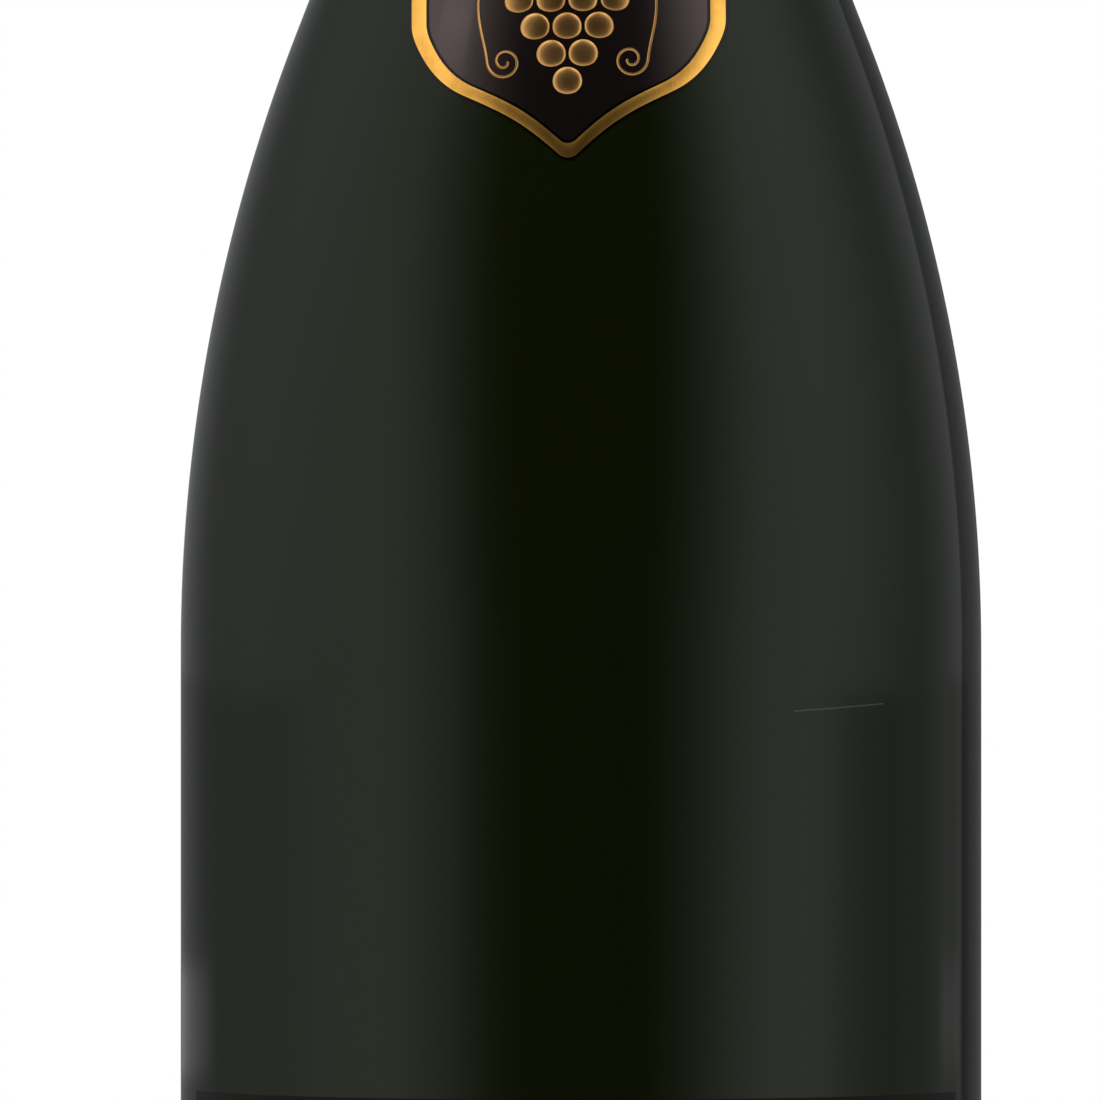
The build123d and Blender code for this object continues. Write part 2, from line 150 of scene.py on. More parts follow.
def arc(centre: Point, radius: float, start: float, end: float, steps: int) -> list[Point]:
    """Points on an arc about a centre, between two angles in degrees."""
    angles = np.radians(np.linspace(start, end, steps + 1))
    return [(centre[0] + radius * cos(a), centre[1] + radius * sin(a)) for a in angles]


def spline(points: Sequence[Point], start: Point, end: Point, steps: int) -> list[Point]:
    """A smooth curve through points that leaves and arrives in given directions.

    Args:
        points: The points that it passes through.
        start: Direction at the first point.
        end: Direction at the last point.
        steps: Steps between one point and the next.

    Returns:
        Points along the curve, both ends among them.
    """
    at = np.array(points, float)
    gap = np.linalg.norm(np.diff(at, axis=0), axis=1)
    count = len(at)
    slope = np.zeros_like(at)
    slope[0], slope[-1] = np.array(start) / np.hypot(*start), np.array(end) / np.hypot(*end)
    if count > 2:
        system = np.zeros((count - 2, count))
        target = np.zeros((count - 2, 2))
        for i in range(1, count - 1):
            before, after = gap[i - 1], gap[i]
            system[i - 1, i - 1 : i + 2] = after, 2 * (before + after), before
            target[i - 1] = 3 * (after / before * (at[i] - at[i - 1]) + before / after * (at[i + 1] - at[i]))
        target -= system[:, [0]] * slope[0] + system[:, [-1]] * slope[-1]
        slope[1:-1] = np.linalg.solve(system[:, 1:-1], target)
    found = []
    for i in range(count - 1):
        t = np.linspace(0, 1, steps + 1)[int(i > 0) :, None]
        rest = 1 - t
        found.append(
            at[i] * rest**2 * (1 + 2 * t)
            + at[i + 1] * t**2 * (3 - 2 * t)
            + gap[i] * (slope[i] * t * rest**2 - slope[i + 1] * t**2 * rest)
        )
    return [(float(x), float(y)) for x, y in np.concatenate(found)]


def rounded(corners: Sequence[Corner], closed: bool = False, turn_step: float = 12.0) -> list[Point]:
    """A path of straight runs whose corners are rounded.

    Args:
        corners: x, y and radius of each corner, radius 0 where the path only passes.
        closed: Whether the last corner joins the first.
        turn_step: Degrees of turn for each step of a round.

    Returns:
        Points along the path.
    """
    path: list[Point] = []
    for i, (x, y, radius) in enumerate(corners):
        inside = closed or 0 < i < len(corners) - 1
        if not (radius and inside):
            path.append((x, y))
            continue
        here = np.array((x, y))
        before = np.array(corners[i - 1][:2]) - here
        after = np.array(corners[(i + 1) % len(corners)][:2]) - here
        before, after = before / np.linalg.norm(before), after / np.linalg.norm(after)
        half = np.arccos(np.clip(before @ after, -1, 1)) / 2
        centre = here + (before + after) / np.linalg.norm(before + after) * radius / sin(half)
        first, last = here + before * radius / tan(half), here + after * radius / tan(half)
        begin = np.arctan2(*(first - centre)[::-1])
        sweep = (np.arctan2(*(last - centre)[::-1]) - begin + pi) % (2 * pi) - pi
        steps = max(2, round(abs(degrees(sweep)) / turn_step))
        path += arc((centre[0], centre[1]), radius, degrees(begin), degrees(begin + sweep), steps)
    return path


def divided(start: Point, end: Point, steps: int) -> list[Corner]:
    """Passing points between two ends, without the ends."""
    shares = np.linspace(0, 1, steps + 1)[1:-1]
    return [(start[0] + (end[0] - start[0]) * s, start[1] + (end[1] - start[1]) * s, 0.0) for s in shares]


def passing(points: Sequence[Point]) -> list[Corner]:
    """Points of a curve as corners that need no round."""
    return [(x, y, 0.0) for x, y in points]


def chain(count: int, closed: bool) -> list[tuple[int, int]]:
    """Edges that join points one after another, and the last to the first where they close."""
    edges = [(i, i + 1) for i in range(count - 1)]
    return [*edges, (count - 1, 0)] if closed else edges


def evenly(count: int) -> np.ndarray:
    """Angles spread evenly round the axis, in radians."""
    return np.linspace(0, 2 * pi, count, endpoint=False)


def cylindrical(at: np.ndarray) -> tuple[np.ndarray, np.ndarray, np.ndarray]:
    """Radius, angle in radians and height of points."""
    return np.hypot(at[:, 0], at[:, 1]), np.arctan2(at[:, 1], at[:, 0]), at[:, 2]


def polar(turn: np.ndarray | float, height: np.ndarray | float, radius: np.ndarray | float) -> np.ndarray:
    """Points at an angle about the axis in radians, at a height and at a radius."""
    return np.stack(np.broadcast_arrays(radius * np.cos(turn), radius * np.sin(turn), height), axis=-1)


def swell(at: np.ndarray, radius: np.ndarray, rise: np.ndarray) -> np.ndarray:
    """Moves points away from the axis.

    Args:
        at: The points.
        radius: The radius of each.
        rise: How far each moves.

    Returns:
        The moved points.
    """
    grown = at.copy()
    grown[:, :2] *= (1 + rise / np.maximum(radius, 1))[:, None]
    return grown


def even_loop(points: Sequence[Point], count: int) -> np.ndarray:
    """A closed outline as points at even spacing.

    Args:
        points: Points along the outline.
        count: How many points there are to be.

    Returns:
        The new points, a row for each.
    """
    loop = np.array([*points, points[0]], float)
    run = np.concatenate([[0], np.cumsum(np.linalg.norm(np.diff(loop, axis=0), axis=1))])
    at = np.linspace(0, run[-1], count, endpoint=False)
    return np.stack([np.interp(at, run, side) for side in loop.T], axis=1)


def smooth(value: np.ndarray, low: float, high: float) -> np.ndarray:
    """0 below low and 1 above high, with a smooth rise between; low above high gives a fall."""
    t = np.clip((value - low) / (high - low), 0, 1)
    return t * t * (3 - 2 * t)


def outward(mesh: Mesh) -> None:
    """Turns a closed mesh's faces outwards, going by the sign of its volume.

    Args:
        mesh: The mesh.
    """
    mesh.calc_loop_triangles()
    at = np.empty(len(mesh.vertices) * 3, np.float32)
    mesh.vertices.foreach_get("co", at)
    corners = np.empty(len(mesh.loop_triangles) * 3, np.int32)
    mesh.loop_triangles.foreach_get("vertices", corners)
    a, b, c = np.moveaxis(at.reshape(-1, 3).astype(float)[corners.reshape(-1, 3)], 1, 0)
    if np.einsum("ij,ij->i", a, np.cross(b, c)).sum() < 0:
        mesh.flip_normals()


def reshape(mesh: Mesh, rule: Callable[[np.ndarray], np.ndarray]) -> Mesh:
    """Moves a mesh's points.

    Args:
        mesh: The mesh.
        rule: Gives their new positions from the old ones.

    Returns:
        The same mesh.
    """
    at = np.empty(len(mesh.vertices) * 3, np.float32)
    mesh.vertices.foreach_get("co", at)
    mesh.vertices.foreach_set("co", rule(at.reshape(-1, 3).astype(float)).astype(np.float32).ravel())
    mesh.update()
    return mesh


def fuse(name: str, parts: Sequence[Mesh]) -> Mesh:
    """Joins meshes into one, keeping their materials.

    Args:
        name: Name of the joined mesh.
        parts: The meshes, which are used up.

    Returns:
        The joined mesh.
    """
    joined = bmesh.new()
    palette: list[Material] = []
    for part in parts:
        outward(part)
        first = len(joined.faces)
        joined.from_mesh(part)
        joined.faces.ensure_lookup_table()
        for material in part.materials:
            if material not in palette:
                palette.append(material)
        for face in joined.faces[first:]:
            face.material_index = palette.index(part.materials[face.material_index])
    mesh = bpy.data.meshes.new(name)
    joined.to_mesh(mesh)
    joined.free()
    for material in palette:
        mesh.materials.append(material)
    for part in parts:
        bpy.data.meshes.remove(part)
    return mesh


def finish_piece(
    mesh: Mesh, name: str, body: Body, nodes: Sequence[str], crease: float = 35.0
) -> None:
    """Turns a mesh in millimetres into a finished piece on its body.

    Args:
        mesh: Closed mesh, with its materials.
        name: The piece's name.
        body: The body that it rides on.
        nodes: The CAD nodes that it stands for.
        crease: Degrees from which an edge is drawn sharp.
    """
    mesh.transform(Matrix.Scale(MM, 4))
    outward(mesh)
    mesh.shade_smooth()
    mesh.set_sharp_from_angle(angle=radians(crease))
    mesh.name = name
    piece = bpy.data.objects.new(name, mesh)
    bpy.context.scene.collection.objects.link(piece)
    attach(piece, body.value)
    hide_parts(*nodes)
    LOG.info("%s: %d faces, rides on %s", name, len(mesh.polygons), body.value)


# Geometry node trees


def new_tree(name: str, **inputs: str) -> tuple[NodeTree, NodeOutputs]:
    """An empty Geometry Nodes tree with named inputs, a material last of all.

    Args:
        name: The tree's name.
        inputs: Input name to the type of its socket, without the prefix.

    Returns:
        The tree and the sockets of its inputs.
    """
    tree = bpy.data.node_groups.new(name, "GeometryNodeTree")
    for label, kind in {**inputs, "Material": "Material"}.items():
        tree.interface.new_socket(name=label, in_out="INPUT", socket_type=f"NodeSocket{kind}")
    tree.interface.new_socket(name="Made", in_out="OUTPUT", socket_type="NodeSocketGeometry")
    return tree, add_node(tree, "NodeGroupInput").outputs


def close_tree(tree: NodeTree, made: Node, material: NodeSocket) -> None:
    """Ends a tree in Realize Instances and Set Material.

    Args:
        tree: The tree.
        made: The node that gives the made shape.
        material: The tree's material input.
    """
    real = add_node(tree, "GeometryNodeRealizeInstances", {0: made})
    painted = add_node(tree, "GeometryNodeSetMaterial", {"Geometry": real, "Material": material})
    add_node(tree, "NodeGroupOutput", {0: painted})


def lathe_tree() -> NodeTree:
    """Turns an outline round the Z axis.

    Returns:
        The tree, whose outline is drawn with X less the hub's radius and Z as -Y.
    """
    tree, given = new_tree("Lathe", Outline="Geometry", Sides="Int", Hub="Float", Weld="Float")
    outline = add_node(tree, "GeometryNodeMeshToCurve", {0: given["Outline"]})
    hub = add_node(
        tree, "GeometryNodeCurvePrimitiveCircle", {"Resolution": given["Sides"], "Radius": given["Hub"]}
    )
    upright = add_node(tree, "GeometryNodeSetCurveNormal", {"Curve": hub}, mode="Z_UP")
    swept = add_node(tree, "GeometryNodeCurveToMesh", {"Curve": upright, "Profile Curve": outline})
    welded = add_node(tree, "GeometryNodeMergeByDistance", {"Geometry": swept, "Distance": given["Weld"]})
    close_tree(tree, welded, given["Material"])
    return tree


def strand_tree() -> NodeTree:
    """Lays twisted strands of round wire along a path.

    Returns:
        The tree.
    """
    sizes = dict.fromkeys(("Lay", "Wire", "Pitch", "Step"), "Float")
    counts = dict.fromkeys(("Strands", "Sides"), "Int")
    tree, given = new_tree("Twisted wire", Path="Geometry", **sizes, **counts)
    path = add_node(tree, "GeometryNodeMeshToCurve", {0: given["Path"]})
    evened = add_node(
        tree, "GeometryNodeResampleCurve", {"Curve": path, "Length": given["Step"]}, mode="LENGTH"
    )
    along = add_node(tree, "GeometryNodeSplineParameter").outputs["Length"]
    turns = add_node(tree, MATH, {0: along, 1: given["Pitch"]}, operation="DIVIDE")
    angle = add_node(tree, MATH, {0: turns, 1: 2 * pi}, operation="MULTIPLY")
    tilted = add_node(tree, "GeometryNodeSetCurveTilt", {"Curve": evened, "Tilt": angle})
    across = add_node(tree, MATH, {0: given["Lay"], 1: -2.0}, operation="MULTIPLY")
    first = add_node(tree, "ShaderNodeCombineXYZ", {"X": given["Lay"]})
    spacing = add_node(tree, "ShaderNodeCombineXYZ", {"X": across})
    seats = add_node(
        tree, "GeometryNodeMeshLine", {"Count": given["Strands"], "Start Location": first, "Offset": spacing}
    )
    round_wire = add_node(
        tree, "GeometryNodeCurvePrimitiveCircle", {"Resolution": given["Sides"], "Radius": given["Wire"]}
    )
    laid = add_node(tree, "GeometryNodeInstanceOnPoints", {"Points": seats, "Instance": round_wire})
    profile = add_node(tree, "GeometryNodeRealizeInstances", {0: laid})
    swept = add_node(
        tree, "GeometryNodeCurveToMesh", {"Curve": tilted, "Profile Curve": profile, "Fill Caps": True}
    )
    close_tree(tree, swept, given["Material"])
    return tree


def stud_tree() -> NodeTree:
    """Sets a flat-bottomed dome on every site, facing the way that the site's outward attribute says.

    Returns:
        The tree.
    """
    tree, given = new_tree("Studs", Sites="Geometry", Rings="Int", Segments="Int", Height="Float")
    ball = add_node(
        tree,
        "GeometryNodeMeshUVSphere",
        {"Segments": given["Segments"], "Rings": given["Rings"], "Radius": 1.0},
    )
    here = add_node(tree, "GeometryNodeInputPosition")
    parts = add_node(tree, "ShaderNodeSeparateXYZ", {0: here})
    level = add_node(tree, MATH, {0: parts.outputs["Z"], 1: 0.0}, operation="MAXIMUM")
    flat = add_node(
        tree, "ShaderNodeCombineXYZ", {"X": parts.outputs["X"], "Y": parts.outputs["Y"], "Z": level}
    )
    dome = add_node(tree, "GeometryNodeSetPosition", {"Geometry": ball, "Position": flat})
    facing = add_node(tree, "GeometryNodeInputNamedAttribute", {"Name": "outward"}, data_type="FLOAT_VECTOR")
    size = add_node(tree, "GeometryNodeInputNamedAttribute", {"Name": "size"}, data_type="FLOAT")
    turned = add_node(tree, "FunctionNodeAlignRotationToVector", {"Vector": facing}, axis="Z")
    scale = add_node(tree, "ShaderNodeCombineXYZ", {"X": size, "Y": size, "Z": given["Height"]})
    set_down = add_node(
        tree,
        "GeometryNodeInstanceOnPoints",
        {"Points": given["Sites"], "Instance": dome, "Rotation": turned, "Scale": scale},
    )
    close_tree(tree, set_down, given["Material"])
    return tree


def grow(tree: NodeTree, guide: Mesh, values: dict) -> Mesh:
    """Runs a tree on a guide mesh and returns its result as a plain mesh.

    Args:
        tree: One of the trees above.
        guide: The mesh that the tree starts from.
        values: Input name to value.

    Returns:
        The made mesh.
    """
    holder = bpy.data.objects.new("guide", guide)
    bpy.context.scene.collection.objects.link(holder)
    modifier = holder.modifiers.new("Grow", "NODES")
    modifier.node_group = tree
    for item in tree.interface.items_tree:
        if item.in_out == "INPUT" and item.name in values:
            modifier[item.identifier] = values[item.name]
    bpy.context.view_layer.update()
    graph = bpy.context.evaluated_depsgraph_get()
    mesh = bpy.data.meshes.new_from_object(holder.evaluated_get(graph))
    holder.modifiers.clear()
    bpy.data.objects.remove(holder)
    bpy.data.meshes.remove(guide)
    return mesh


@dataclass
class Workshop:
    """Makes turned, wound and studded meshes with the node trees."""

    hub: float = 1.0
    lathe: NodeTree = field(default_factory=lathe_tree)
    strands: NodeTree = field(default_factory=strand_tree)
    studs: NodeTree = field(default_factory=stud_tree)

    def turn(self, outline: Sequence[Point], sides: int, material: Material, closed: bool = False) -> Mesh:
        """A solid of revolution.

        Args:
            outline: Radius and height along the solid's outline, anticlockwise.
            sides: Sides of the turned solid.
            material: Its material.
            closed: Whether the outline is a loop off the axis.

        Returns:
            The closed mesh.
        """
        path = [(r - self.hub, -z, 0.0) for r, z in reversed(outline)]
        guide = bpy.data.meshes.new("outline")
        guide.from_pydata(path, chain(len(path), closed), [])
        return grow(self.lathe, guide, {"Sides": sides, "Hub": self.hub, "Weld": WELD, "Material": material})

    def wind(
        self,
        path: Sequence[Sequence[float]],
        material: Material,
        wire: float,
        strands: int = 1,
        pitch: float = 1.0,
        closed: bool = False,
        step: float = 0.3,
        sides: int = 12,
    ) -> Mesh:
        """Round wire along a path, as one strand or two that are twisted.

        Args:
            path: Points in space.
            material: The wire's material.
            wire: Radius of one strand.
            strands: How many strands, side by side across the path.
            pitch: Length of one full twist.
            closed: Whether the path is a ring.
            step: Distance between sections.
            sides: Sides of the round wire.

        Returns:
            The closed mesh.
        """
        guide = bpy.data.meshes.new("path")
        guide.from_pydata(np.asarray(path, float), chain(len(path), closed), [])
        values = {"Strands": strands, "Lay": wire * (strands - 1), "Wire": wire, "Step": step, "Sides": sides}
        values["Pitch"] = pitch if strands > 1 else UNTWISTED
        return grow(self.strands, guide, {**values, "Material": material})

    def stud(
        self,
        sites: np.ndarray,
        facing: np.ndarray,
        sizes: np.ndarray,
        height: float,
        material: Material,
        rings: int = 8,
        segments: int = 16,
    ) -> Mesh:
        """Domes on a surface.

        Args:
            sites: Where they stand.
            facing: The way that each faces.
            sizes: Radius of each.
            height: How far they stand out.
            material: Their material.
            rings: Rings of faces on the whole ball that they are cut from.
            segments: Faces round each.

        Returns:
            One mesh with all of them.
        """
        guide = bpy.data.meshes.new("sites")
        guide.from_pydata(sites, [], [])
        ways = guide.attributes.new("outward", "FLOAT_VECTOR", "POINT")
        ways.data.foreach_set("vector", np.asarray(facing, np.float32).ravel())
        radii = guide.attributes.new("size", "FLOAT", "POINT")
        radii.data.foreach_set("value", np.asarray(sizes, np.float32))
        values = {"Rings": rings, "Segments": segments, "Height": height, "Material": material}
        return grow(self.studs, guide, values)


def sheet_mesh(
    name: str,
    place: Place,
    flat: np.ndarray,
    top: np.ndarray | float,
    low: np.ndarray | float,
    material: Material,
    wrap: bool = False,
    fan: bool = False,
) -> Mesh:
    """A thin closed solid that follows a surface.

    Args:
        name: The mesh's name.
        place: Puts flat points on the surface, at a distance from it.
        flat: Flat points, rows by columns by 2. With fan, row 0 is one point repeated.
        top: Distance of the upper side.
        low: Distance of the underside.
        material: Its material.
        wrap: Whether the columns close into a ring.
        fan: Whether row 0 is a middle point.

    Returns:
        The closed mesh.
    """
    grid, under = (place(flat[..., 0], flat[..., 1], proud) for proud in (top, low))
    rows, columns = flat.shape[:2]
    upper = np.arange(rows * columns).reshape(rows, columns)
    if fan:
        upper[0] = upper[0, 0]
    lower = upper + rows * columns
    reach = columns if wrap else columns - 1
    quads: list[tuple[int, ...]] = []
    for j in range(reach):
        k = (j + 1) % columns
        for i in range(rows - 1):
            quads.append((upper[i, j], upper[i + 1, j], upper[i + 1, k], upper[i, k]))
            quads.append((lower[i, k], lower[i + 1, k], lower[i + 1, j], lower[i, j]))
        quads.append((upper[-1, j], lower[-1, j], lower[-1, k], upper[-1, k]))
        if not fan:
            quads.append((upper[0, k], lower[0, k], lower[0, j], upper[0, j]))
    if not wrap:
        for i in range(rows - 1):
            quads.append((upper[i, 0], lower[i, 0], lower[i + 1, 0], upper[i + 1, 0]))
            quads.append((upper[i + 1, -1], lower[i + 1, -1], lower[i, -1], upper[i, -1]))
    # Beside a fan's middle point two of the corners are one.
    faces = [list(dict.fromkeys(map(int, corners))) for corners in quads]
    mesh = bpy.data.meshes.new(name)
    mesh.from_pydata(np.concatenate([grid.reshape(-1, 3), under.reshape(-1, 3)]), [], faces)
    loose = bmesh.new()
    loose.from_mesh(mesh)
    bmesh.ops.delete(loose, geom=[v for v in loose.verts if not v.link_faces], context="VERTS")
    loose.to_mesh(mesh)
    loose.free()
    mesh.materials.append(material)
    return mesh


# Finishes


@dataclass(frozen=True)
class Finish:
    """A surface whose plain values sit on the shader. A kind of finish adds its own pattern."""

    name: str
    colour: str
    roughness: float
    metallic: float = 0.0
    ior: float = 1.5
    specular: float = 0.5
    specular_tint: str = "#ffffff"
    coat: float = 0.0
    coat_roughness: float = 0.05
    transmission: float = 0.0

    def make(self) -> Material:
        """Builds the material with its pattern.

        Returns:
            The material.
        """
        material = bpy.data.materials.new(self.name)
        material.use_nodes = True
        material.diffuse_color = srgb(self.colour)
        shader = material.node_tree.nodes["Principled BSDF"]
        values = {
            "Base Color": srgb(self.colour),
            "Roughness": self.roughness,
            "Metallic": self.metallic,
            "IOR": self.ior,
            "Specular IOR Level": self.specular,
            "Specular Tint": srgb(self.specular_tint),
            "Coat Weight": self.coat,
            "Coat Roughness": self.coat_roughness,
            "Transmission Weight": self.transmission,
        }
        for socket, value in values.items():
            shader.inputs[socket].default_value = value
        self.pattern(material.node_tree, shader)
        return material

    def pattern(self, tree: NodeTree, shader: Node) -> None:
        """The plain finish has no pattern."""

    def relief(self, tree: NodeTree, shader: Node, height: NodeSocket, depth: float) -> None:
        """Feeds a height in millimetres of depth to the shader's normal."""
        bump = add_node(tree, "ShaderNodeBump", {"Strength": 1.0, "Distance": depth * MM, "Height": height})
        tree.links.new(bump.outputs[0], shader.inputs["Normal"])

    def tones(self, tree: NodeTree, shader: Node, factor: NodeSocket, other: str) -> NodeSocket:
        """Mixes the colour with another one.

        Args:
            tree: The material's tree.
            shader: Its shader.
            factor: Share of the other colour.
            other: The other colour, in hex.

        Returns:
            The mixed colour.
        """
        mix = add_node(tree, MIX, {0: factor, MIX_A: srgb(self.colour), MIX_B: srgb(other)}, data_type="RGBA")
        tree.links.new(mix.outputs[MIX_OUT], shader.inputs["Base Color"])
        return mix.outputs[MIX_OUT]


@dataclass(frozen=True)
class MouldedGlass(Finish):
    """Dark green soda-lime glass, blown in a mould: nearly opaque, glossy, with a faint slow ripple."""

    ripple: float = 16.0
    ripple_depth: float = 0.006
    handling: float = 3.0
    handled: float = 0.3
    pale_line_from: float = 33.6
    pale_line_to: float = 50.4
    pale_line_height: float = 100.0
    pale_line_climb: float = 0.045
    pale_line_width: float = 0.14
    pale_line_colour: str = "#3a3d36"

    def pattern(self, tree: NodeTree, shader: Node) -> None:
        """The mould's ripple, and roughness that handling leaves uneven.

        Args:
            tree: The material's tree.
            shader: Its shader.
        """
        here = add_node(tree, COORDS).outputs["Object"]
        wave = add_node(tree, NOISE, {"Vector": here, "Scale": per_metre(self.ripple), "Detail": 1.0})
        self.relief(tree, shader, wave.outputs[0], self.ripple_depth)
        smear = add_node(tree, NOISE, {"Vector": here, "Scale": per_metre(self.handling), "Detail": 4.0})
        least, most = self.roughness * (1 - self.handled), self.roughness * (1 + self.handled)
        spread = add_node(tree, RANGE, {"Value": smear.outputs[0], "To Min": least, "To Max": most})
        tree.links.new(spread.outputs[0], shader.inputs["Roughness"])
        self.pale_line(tree, shader, here)

    def pale_line(self, tree: NodeTree, shader: Node, here: NodeSocket) -> None:
        """One thin lighter line on the glass, right of the front, that climbs a little to the right.

        Args:
            tree: The material's tree.
            shader: Its shader.
            here: The place on the bottle.
        """
        at = add_node(tree, "ShaderNodeSeparateXYZ", {0: here}).outputs
        ahead = add_node(tree, MATH, {0: at["Y"], 1: -1.0}, operation="MULTIPLY")
        turn = add_node(tree, MATH, {0: at["X"], 1: ahead}, operation="ARCTAN2")
        degree = add_node(tree, MATH, {0: turn}, operation="DEGREES")
        line = add_node(
            tree,
            MATH,
            {0: degree, 1: self.pale_line_climb * MM, 2: self.pale_line_height * MM},
            operation="MULTIPLY_ADD",
        )
        on_line = add_node(
            tree, MATH, {0: at["Z"], 1: line, 2: self.pale_line_width / 2 * MM}, operation="COMPARE"
        )
        middle, reach = (self.pale_line_from + self.pale_line_to) / 2, (self.pale_line_to - self.pale_line_from) / 2
        within = add_node(tree, MATH, {0: degree, 1: middle, 2: reach}, operation="COMPARE")
        share = add_node(tree, MATH, {0: on_line, 1: within}, operation="MULTIPLY")
        self.tones(tree, shader, share.outputs[0], self.pale_line_colour)


@dataclass(frozen=True)
class MetallisedPaper(Finish):
    """Dark metallised label paper under varnish: a dim satin mirror, with black keylines beside the gold."""

    # Real fibres are too fine to show, so they are drawn far coarser.
    fibre: float = 0.5
    fibre_length: float = 4.0
    fibre_depth: float = 0.004
    keyline: str = "#050404"

    def pattern(self, tree: NodeTree, shader: Node) -> None:
        """Paper fibres under the varnish, and the printed keylines.

        Args:
            tree: The material's tree.
            shader: Its shader.
        """
        here = add_node(tree, COORDS).outputs["Object"]
        long_way = add_node(
            tree, "ShaderNodeMapping", {"Vector": here, "Scale": (1.0, 1.0, 1 / self.fibre_length)}
        )
        fibres = add_node(tree, NOISE, {"Vector": long_way, "Scale": per_metre(self.fibre), "Detail": 3.0})
        self.relief(tree, shader, fibres.outputs[0], self.fibre_depth)
        printed = add_node(tree, "ShaderNodeAttribute", attribute_name="keyline").outputs["Fac"]
        self.tones(tree, shader, printed, self.keyline)


@dataclass(frozen=True)
class PressedGold(Finish):
    """Gold foil pressed hot on to paper: bright metal with a fine uneven grain."""

    grain: float = 0.35
    grain_depth: float = 0.012
    worn: str = "#c98a34"
    worn_size: float = 3.0
    worn_from: float = 0.45
    worn_to: float = 0.75
    worn_most: float = 0.6

    def pattern(self, tree: NodeTree, shader: Node) -> None:
        """The press's grain, and places where the gold is thinner and browner.

        Args:
            tree: The material's tree.
            shader: Its shader.
        """
        here = add_node(tree, COORDS).outputs["Object"]
        grain = add_node(tree, NOISE, {"Vector": here, "Scale": per_metre(self.grain), "Detail": 2.0})
        self.relief(tree, shader, grain.outputs[0], self.grain_depth)
        thin = add_node(tree, NOISE, {"Vector": here, "Scale": per_metre(self.worn_size), "Detail": 3.0})
        ends = {"From Min": self.worn_from, "From Max": self.worn_to, "To Max": self.worn_most}
        share = add_node(tree, RANGE, {"Value": thin.outputs[0], **ends})
        self.tones(tree, shader, share.outputs[0], self.worn)


@dataclass(frozen=True)
class LacqueredFoil(Finish):
    """Thin lacquered foil, pressed on by hand: satin metal with a crinkle and uneven gloss."""

    crinkle: float = 1.6
    crinkle_depth: float = 0.035
    crinkle_softness: float = 0.8
    rubbed_crinkles: float = 4.0
    duller: float = 0.16

    def pattern(self, tree: NodeTree, shader: Node) -> None:
        """Fine crinkles, and gloss that varies where the foil was rubbed, a few crinkles at a time.

        Args:
            tree: The material's tree.
            shader: Its shader.
        """
        here = add_node(tree, COORDS).outputs["Object"]
        folds = add_node(
            tree,
            "ShaderNodeTexVoronoi",
            {"Vector": here, "Scale": per_metre(self.crinkle), "Smoothness": self.crinkle_softness},
            feature="SMOOTH_F1",
        )
        self.relief(tree, shader, folds.outputs[0], self.crinkle_depth)
        patch = per_metre(self.crinkle * self.rubbed_crinkles)
        rubbed = add_node(tree, NOISE, {"Vector": here, "Scale": patch, "Detail": 3.0})
        gloss = add_node(
            tree,
            RANGE,
            {"Value": rubbed.outputs[0], "To Min": self.roughness, "To Max": self.roughness + self.duller},
        )
        tree.links.new(gloss.outputs[0], shader.inputs["Roughness"])


@dataclass(frozen=True)
class PressedCork(Finish):
    """Cork: pale granules of many browns glued and pressed, or whole cork with dark pores."""

    granule: float = 2.2
    dark: str = "#7c5433"
    pore: str = "#4a2f1c"
    pore_share: float = 0.3
    pore_size: float = 0.5
    pore_core: float = 0.85
    depth: float = 0.12

    def pattern(self, tree: NodeTree, shader: Node) -> None:
        """Granules of different browns with dark pores between them.

        Args:
            tree: The material's tree.
            shader: Its shader.
        """
        here = add_node(tree, COORDS).outputs["Object"]
        cells = add_node(tree, "ShaderNodeTexVoronoi", {"Vector": here, "Scale": per_metre(self.granule)})
        shade = add_node(tree, "ShaderNodeSeparateColor", {0: cells.outputs["Color"]})
        grains = self.tones(tree, shader, shade.outputs[0], self.dark)
        # A pore is a share of a granule's size.
        pore = per_metre(self.granule * self.pore_size)
        specks = add_node(tree, NOISE, {"Vector": here, "Scale": pore, "Detail": 3.0})
        ends = {"From Min": 1 - self.pore_share, "From Max": self.pore_core - self.pore_share}
        pores = add_node(tree, RANGE, {"Value": specks.outputs[0], **ends})
        solid = add_node(tree, MATH, {0: 1.0, 1: pores.outputs[0]}, operation="SUBTRACT")
        mix = add_node(tree, MIX, {0: solid, MIX_A: grains, MIX_B: srgb(self.pore)}, data_type="RGBA")
        tree.links.new(mix.outputs[MIX_OUT], shader.inputs["Base Color"])
        self.relief(tree, shader, cells.outputs["Distance"], -self.depth)


@dataclass(frozen=True)
class DrawnWire(Finish):
    """Galvanised steel wire, drawn: bright grey with fine marks and dull patches of zinc."""

    # Real marks of the die are too fine to show, so they are drawn coarse.
    mark: float = 0.4
    dull: str = "#8b8c88"
    depth: float = 0.01

    def pattern(self, tree: NodeTree, shader: Node) -> None:
        """Marks of the die and patches of zinc.

        Args:
            tree: The material's tree.
            shader: Its shader.
        """
        here = add_node(tree, COORDS).outputs["Object"]
        marks = add_node(tree, NOISE, {"Vector": here, "Scale": per_metre(self.mark), "Detail": 3.0})
        self.tones(tree, shader, marks.outputs[0], self.dull)
        self.relief(tree, shader, marks.outputs[0], self.depth)


